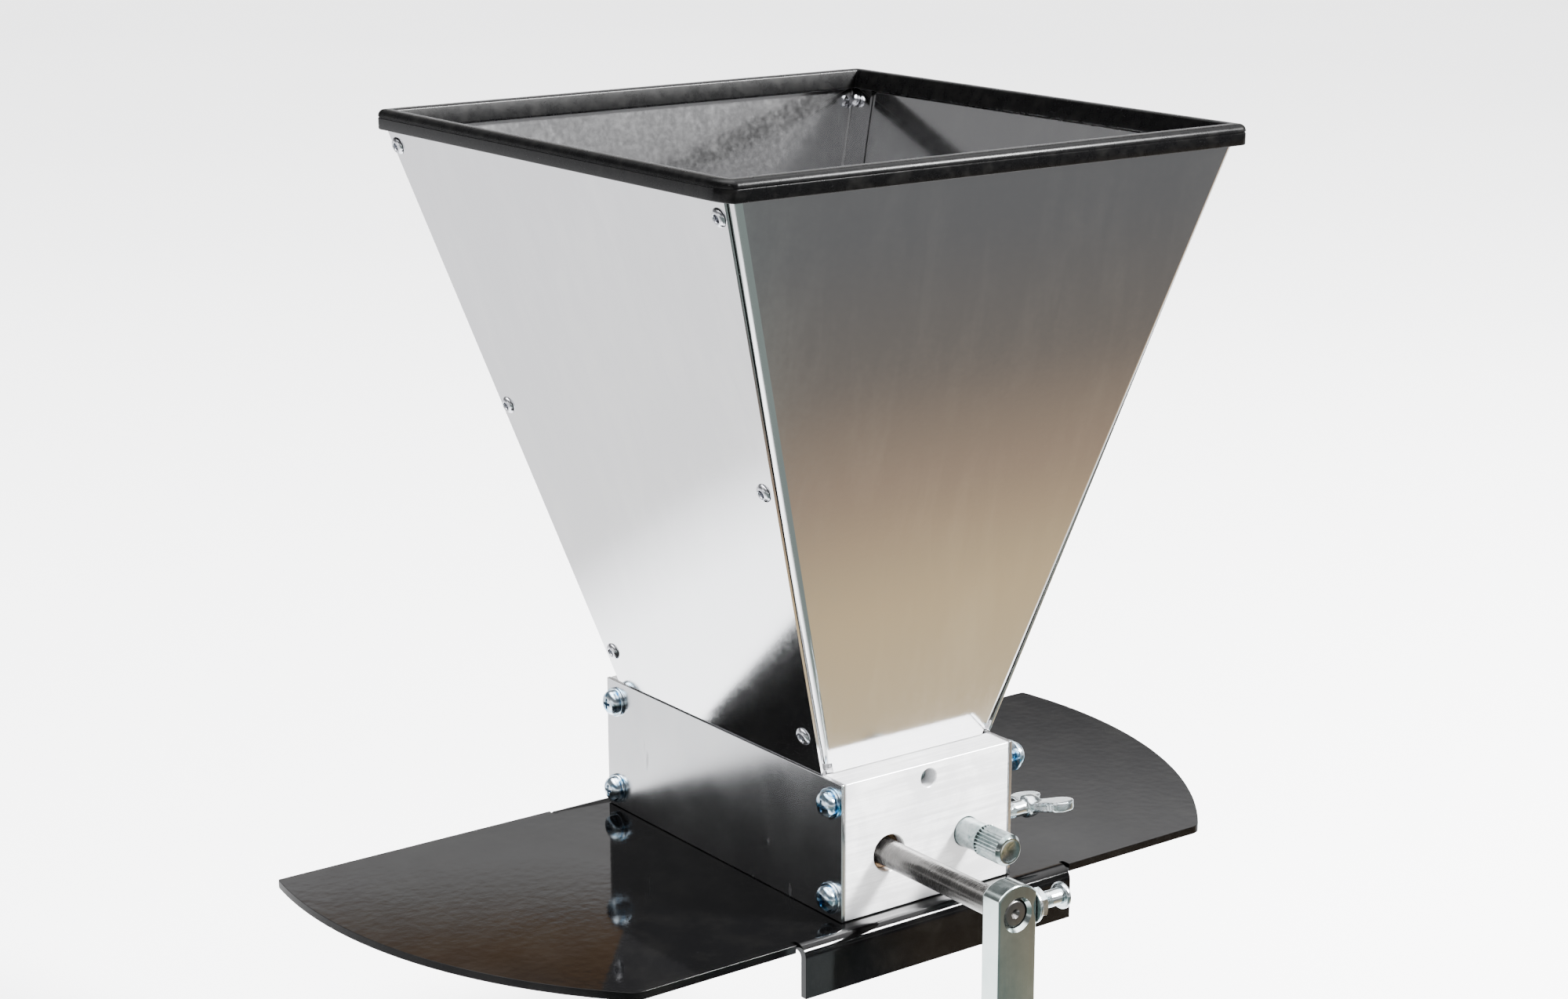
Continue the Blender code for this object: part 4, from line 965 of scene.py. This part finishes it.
# ---- crank -------------------------------------------------------------------------------------
def crank_arm():
    low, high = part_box("crank_arm")
    axis = JOINT["crank_turn"]
    grip = JOINT["grip_spin"]
    head_r = max((high.x - low.x) / 2, high.z - axis.z)
    half_w = grip.z - low.z
    thick = high.y - low.y
    throw = axis.z - grip.z
    shoulder = math.degrees(math.acos(half_w / head_r))
    outline = arc((0.0, 0.0), head_r, shoulder, 180 - shoulder, 48)
    outline += arc((0.0, -throw), half_w, 180, 360, 48)
    place = Matrix.Translation((axis.x, low.y, axis.z)) @ Matrix.Rotation(math.radians(90), 4, "X")
    arm = prism("crank_arm_fine", outline, -thick, 0.0, place)
    ease(arm, 0.7 * MM, 4, 40.0)
    face = along((axis.x, low.y, axis.z), (0, -1, 0))
    shaft_hole = lathe("hole", [(0.0, MM), (ARM_CHAMFER_R + MM, MM), (ARM_CHAMFER_R, 0.0),
                                (ARM_HOLE_R, -1.3 * MM), (ARM_HOLE_R, -thick - MM), (0.0, -thick - MM)],
                       face, 96)
    spindle_hole = bore_cutter(along((grip.x, low.y, grip.z), (0, -1, 0)), SPINDLE_R + CLOSE_FIT,
                               thick, 0.4 * MM, through=True)
    clamp_hole = bore_cutter(along((axis.x + half_w, (low.y + high.y) / 2, axis.z), (1, 0, 0)),
                             CLAMP_R + CLOSE_FIT, half_w - 2.5 * MM)
    carve(arm, shaft_hole, spindle_hole, clamp_hole)
    smooth(arm, 40.0, weighted=True)
    stand_in(arm, "crank_steel", "crank_arm")


def clamp_bolt():
    node = "crank_clamp_bolt"
    low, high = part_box(node)
    place = far_end(node, (1, 0, 0))
    total = high.x - low.x
    head_r = (high.z - low.z) / 2
    head_h = 2.6 * MM
    start = -head_h - 5.0 * MM
    head = soften([(0.0, -0.35 * MM), (2.3 * MM, -0.35 * MM), (2.7 * MM, 0.0), (3.3 * MM, 0.0),
                   (3.7 * MM, -0.75 * MM), (head_r - 0.35 * MM, -0.80 * MM), (head_r, -1.2 * MM),
                   (head_r, -2.1 * MM), (head_r - 0.4 * MM, -head_h), (CLAMP_R, -head_h),
                   (CLAMP_R, start)], 0.2 * MM, 4)
    turns = int((total + start) / THREAD_PITCH * 6)
    stem = [(CLAMP_R, start - (total + start) * i / turns) for i in range(1, turns)]
    tip = [(CLAMP_R - 0.6 * MM, -total), (0.0, -total)]
    bolt = lathe(node + "_fine", head + stem + tip, place, 64,
                 relief=thread_relief(THREAD_PITCH, THREAD_DEPTH, start - 0.2 * MM))
    smooth(bolt, 38.0)
    stand_in(bolt, "zinc", node)
    ring("crank_lock_washer", (1, 0, 0), 6.6 * MM, CLAMP_R + CLOSE_FIT, "zinc", 0.3 * MM)
    fine_nut("crank_lock_nut", (1, 0, 0), 10.0 * MM, CLAMP_R + CLOSE_FIT)


def grip_outline(length, radius):
    """Half profile of the grip, from its free end to the arm."""
    points = []
    steps = 72
    for i in range(steps + 1):
        t = i / steps
        swell = 1.0 - 0.24 * t ** 2.2 + 0.10 * max(0.0, (t - 0.86) / 0.14) ** 2
        nose = math.sqrt(max(0.0, 1.0 - max(0.0, (0.09 - t) / 0.09) ** 2.4))
        rib = 0.0
        if 0.16 < t < 0.84:
            rib = 0.55 * MM * max(0.0, math.sin((t - 0.16) / 0.68 * math.tau * 8.0)) ** 2
        points.append((radius * swell * (0.70 + 0.30 * nose) - rib, -length * t))
    return points


def handle():
    node = "handle_grip"
    low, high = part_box(node)
    length = high.y - low.y
    radius = (high.x - low.x) / 2
    outer = grip_outline(length, radius)
    outer = [(outer[0][0] - 1.0 * MM, 0.0), (outer[0][0] - 0.3 * MM, -0.25 * MM)] + outer[1:]
    bore_r = SPINDLE_R + 0.1 * MM
    recess_r = 7.2 * MM
    recess = 4.5 * MM
    inner = [(outer[-1][0] - 0.8 * MM, -length), (bore_r, -length), (bore_r, -recess),
             (recess_r, -recess), (recess_r, -0.4 * MM), (recess_r + 0.4 * MM, 0.0)]
    outer[-1] = (outer[-1][0], -length + 0.5 * MM)
    grip = lathe(node + "_fine", outer + inner, far_end(node, (0, -1, 0)), 80, closed=True)
    smooth(grip, 42.0)
    stand_in(grip, "grip_plastic", node)
    node = "handle_spindle"
    low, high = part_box(node)
    total = high.y - low.y
    place = far_end(node, (0, -1, 0))
    head = soften([(0.0, -0.1 * MM), (4.6 * MM, -0.2 * MM), (6.4 * MM, -1.4 * MM), (6.6 * MM, -3.4 * MM),
                   (SPINDLE_R, -3.4 * MM), (SPINDLE_R, 0.7 * MM - total), (SPINDLE_R - 0.7 * MM, -total),
                   (0.0, -total)], 0.4 * MM, 4)
    spindle = lathe(node + "_fine", head, place, 64)
    carve(spindle, *cross_recess(5.6 * MM, 2.0 * MM, place))
    smooth(spindle, 38.0)
    stand_in(spindle, "zinc", node)
    ring("handle_washer", (0, 1, 0), 8.0 * MM, SPINDLE_R + CLOSE_FIT, "zinc", 0.3 * MM)
    fine_nut("handle_nut", (0, 1, 0), 13.0 * MM, SPINDLE_R + CLOSE_FIT)


base()
roller_box()
hopper()
roller("drive_roller", plain_bore)
roller("idler_roller", bushed_bore)
drive_shaft()
for END, OUT in (("front", (0, -1, 0)), ("rear", (0, 1, 0))):
    # The bushes' dark bronze is partly painted shade for the gaps round the shafts.
    ring("drive_bush_" + END, OUT, 7.8 * MM, 5.1 * MM, "bronze", 0.35 * MM)
    ring("idler_bush_" + END, OUT, 7.0 * MM, ECCENTRIC_R + 0.1 * MM, "bronze", 0.35 * MM)
gap_adjuster()
wing_screw()
crank_arm()
clamp_bolt()
handle()


# ---- floor, light and camera -------------------------------------------------------------------
FLOOR_Z = CAD_BOX[0].z - 20.0 * MM
CAMERA_ANGLES = (-36.279, 14.796, -0.13)    # degrees of azimuth, elevation and roll
CAMERA_PLACE = (-0.62707, -0.84240, 0.41516)
CAMERA_LENS = 66.6                          # mm, for a sensor 36 mm wide
LIT_POINT = Vector((0.0, 0.0, 0.08))        # at the hopper's foot, just over the roller box


def level_sheet(name, half, z):
    """Level square, by its half width and height."""
    bm = bmesh.new()
    bmesh.ops.create_grid(bm, x_segments=1, y_segments=1, size=half, matrix=Matrix.Translation((0, 0, z)))
    return add(name, bm)


def floor():
    obj = level_sheet("studio_floor", 14.0, FLOOR_Z)
    if obj.data.polygons[0].normal.z < 0:
        obj.data.flip_normals()
    f = Finish("studio_floor", (0.86, 0.86, 0.86), 0.85, 0.0)
    f.colour(f.blend(f.spread(f.noise(0.8, 3.0, 0.5), 0.3, 0.7), (0.84, 0.84, 0.845), (0.88, 0.88, 0.88)))
    obj.data.materials.append(f.material)


def only_in_reflections(obj):
    for rays in ("camera", "diffuse", "shadow", "transmission", "volume_scatter"):
        setattr(obj, "visible_" + rays, False)


def reflected_ground():
    """Ground that only reflections see: bright round the mill, grey-green in front of it, and tan
    turning dark to its front right."""
    obj = level_sheet("reflected_ground", 6.0, FLOOR_Z + 2.0 * MM)
    f = Finish("reflected_ground", (0.5, 0.5, 0.5), 1.0, 0.0)
    split = f.nodes.new("ShaderNodeSeparateXYZ")
    f.links.new(f.place, split.inputs["Vector"])
    length = f.nodes.new("ShaderNodeVectorMath")
    length.operation = "LENGTH"
    f.links.new(f.place, length.inputs[0])
    x, y = split.outputs["X"], split.outputs["Y"]
    around = f.ramp(f.spread(length.outputs["Value"], 0.30, 0.90),
                    ((0.0, (6.0, 6.1, 6.2)), (0.25, (5.0, 5.1, 5.2)), (0.40, (2.0, 2.0, 2.02)),
                     (1.0, (1.9, 1.9, 1.95))))
    front = f.ramp(f.spread(y, -0.24, -0.78),
                   ((0.0, (1.05, 0.84, 0.52)), (0.20, (1.0, 0.76, 0.43)), (0.36, (0.55, 0.40, 0.28)),
                    (0.55, (0.24, 0.215, 0.19)), (0.80, (0.185, 0.187, 0.19)), (1.0, (0.195, 0.197, 0.20))))
    left_edge = f.math("SUBTRACT", 0.018, f.math("MULTIPLY", y, 0.544))
    in_front_right = f.spread(f.math("SUBTRACT", x, left_edge), -0.035, -0.005)
    front = f.blend(in_front_right, (0.30, 0.36, 0.34), front)
    colour = f.blend(f.spread(y, -0.14, -0.265), around, front)
    glow = f.nodes.new("ShaderNodeEmission")
    f.links.new(colour, glow.inputs["Color"])
    f.links.new(glow.outputs["Emission"], f.nodes["Material Output"].inputs["Surface"])
    obj.data.materials.append(f.material)
    only_in_reflections(obj)


def area_light(name, direction, distance, size, power):
    """Square light that shines at LIT_POINT."""
    data = bpy.data.lights.new(name, "AREA")
    data.shape = "SQUARE"
    data.size = size
    data.energy = power
    obj = bpy.data.objects.new(name, data)
    bpy.context.scene.collection.objects.link(obj)
    way = Vector(direction).normalized()
    obj.location = LIT_POINT + way * distance
    obj.rotation_euler = way.to_track_quat("Z", "Y").to_euler()


def studio_world():
    """Horizon pale, but dim in front and dark at the rear left; above it a dark band, with a window
    behind the mill, and a bright ceiling."""
    world = bpy.data.worlds.new("studio")
    bpy.context.scene.world = world
    world.use_nodes = True
    t = Tree(world.node_tree)
    split = t.nodes.new("ShaderNodeSeparateXYZ")
    t.links.new(t.nodes.new("ShaderNodeTexCoord").outputs["Generated"], split.inputs["Vector"])
    x, y, z = split.outputs
    height = t.spread(z, -1.0, 1.0)
    bearing = t.math("ARCTAN2", x, y)
    dark_band_up = ((0.80, 0.04), (0.88, 1.2), (1.0, 1.5))
    heights = t.ramp(height, ((0.50, 0.70), (0.545, 0.60), (0.58, 0.06)) + dark_band_up)
    front_heights = t.ramp(height, ((0.50, 0.25), (0.545, 0.18), (0.58, 0.05)) + dark_band_up)
    rear_left_heights = t.ramp(height, ((0.50, 0.10), (0.54, 0.06)) + dark_band_up)
    window = t.ramp(t.spread(z, 0.32, 0.42),
                    ((0.0, 0.08), (0.20, 0.18), (0.38, 0.32), (0.55, 0.44), (0.65, 0.20),
                     (0.73, (0.17, 0.10, 0.048)), (0.88, (0.15, 0.085, 0.04)), (1.0, 0.03)))
    band = t.blend(t.spread(bearing, math.radians(14.0), math.radians(22.0)), heights, window)
    band = t.blend(t.spread(z, 0.30, 0.32), heights, band)
    band = t.blend(t.spread(z, 0.44, 0.42), heights, band)
    behind = t.blend(t.spread(y, 0.2, 0.4), heights, band)
    rear_left = t.spread(bearing, math.radians(-5.0), math.radians(-20.0))
    behind = t.blend(rear_left, behind, rear_left_heights)
    around = t.blend(t.spread(y, 0.25, 0.35), heights, behind)
    around = t.blend(t.spread(y, -0.15, -0.45), around, front_heights)
    shader = t.nodes["Background"]
    shader.inputs["Strength"].default_value = 5.0
    t.links.new(around, shader.inputs["Color"])


def camera():
    """The photograph's view: about 36 degrees left of the crank's side and 15 above the level."""
    azimuth, elevation, roll = [math.radians(angle) for angle in CAMERA_ANGLES]
    data = bpy.data.cameras.new("camera")
    data.lens = CAMERA_LENS
    data.sensor_width = 36.0
    obj = bpy.data.objects.new("camera", data)
    bpy.context.scene.collection.objects.link(obj)
    out = math.cos(elevation)
    back = Vector((math.sin(azimuth) * out, -math.cos(azimuth) * out, math.sin(elevation)))
    right = (-back).cross(UP).normalized()
    level = Matrix((right, back.cross(right), back)).transposed().to_4x4()
    obj.matrix_world = Matrix.Translation(CAMERA_PLACE) @ level @ Matrix.Rotation(roll, 4, "Z")
    bpy.context.scene.camera = obj


floor()
reflected_ground()
studio_world()
area_light("key", (0.5, -0.6, 0.55), distance=2.4, size=0.45, power=480.0)
area_light("top", (-0.3, 0.2, 1.0), distance=2.6, size=2.0, power=120.0)
camera()
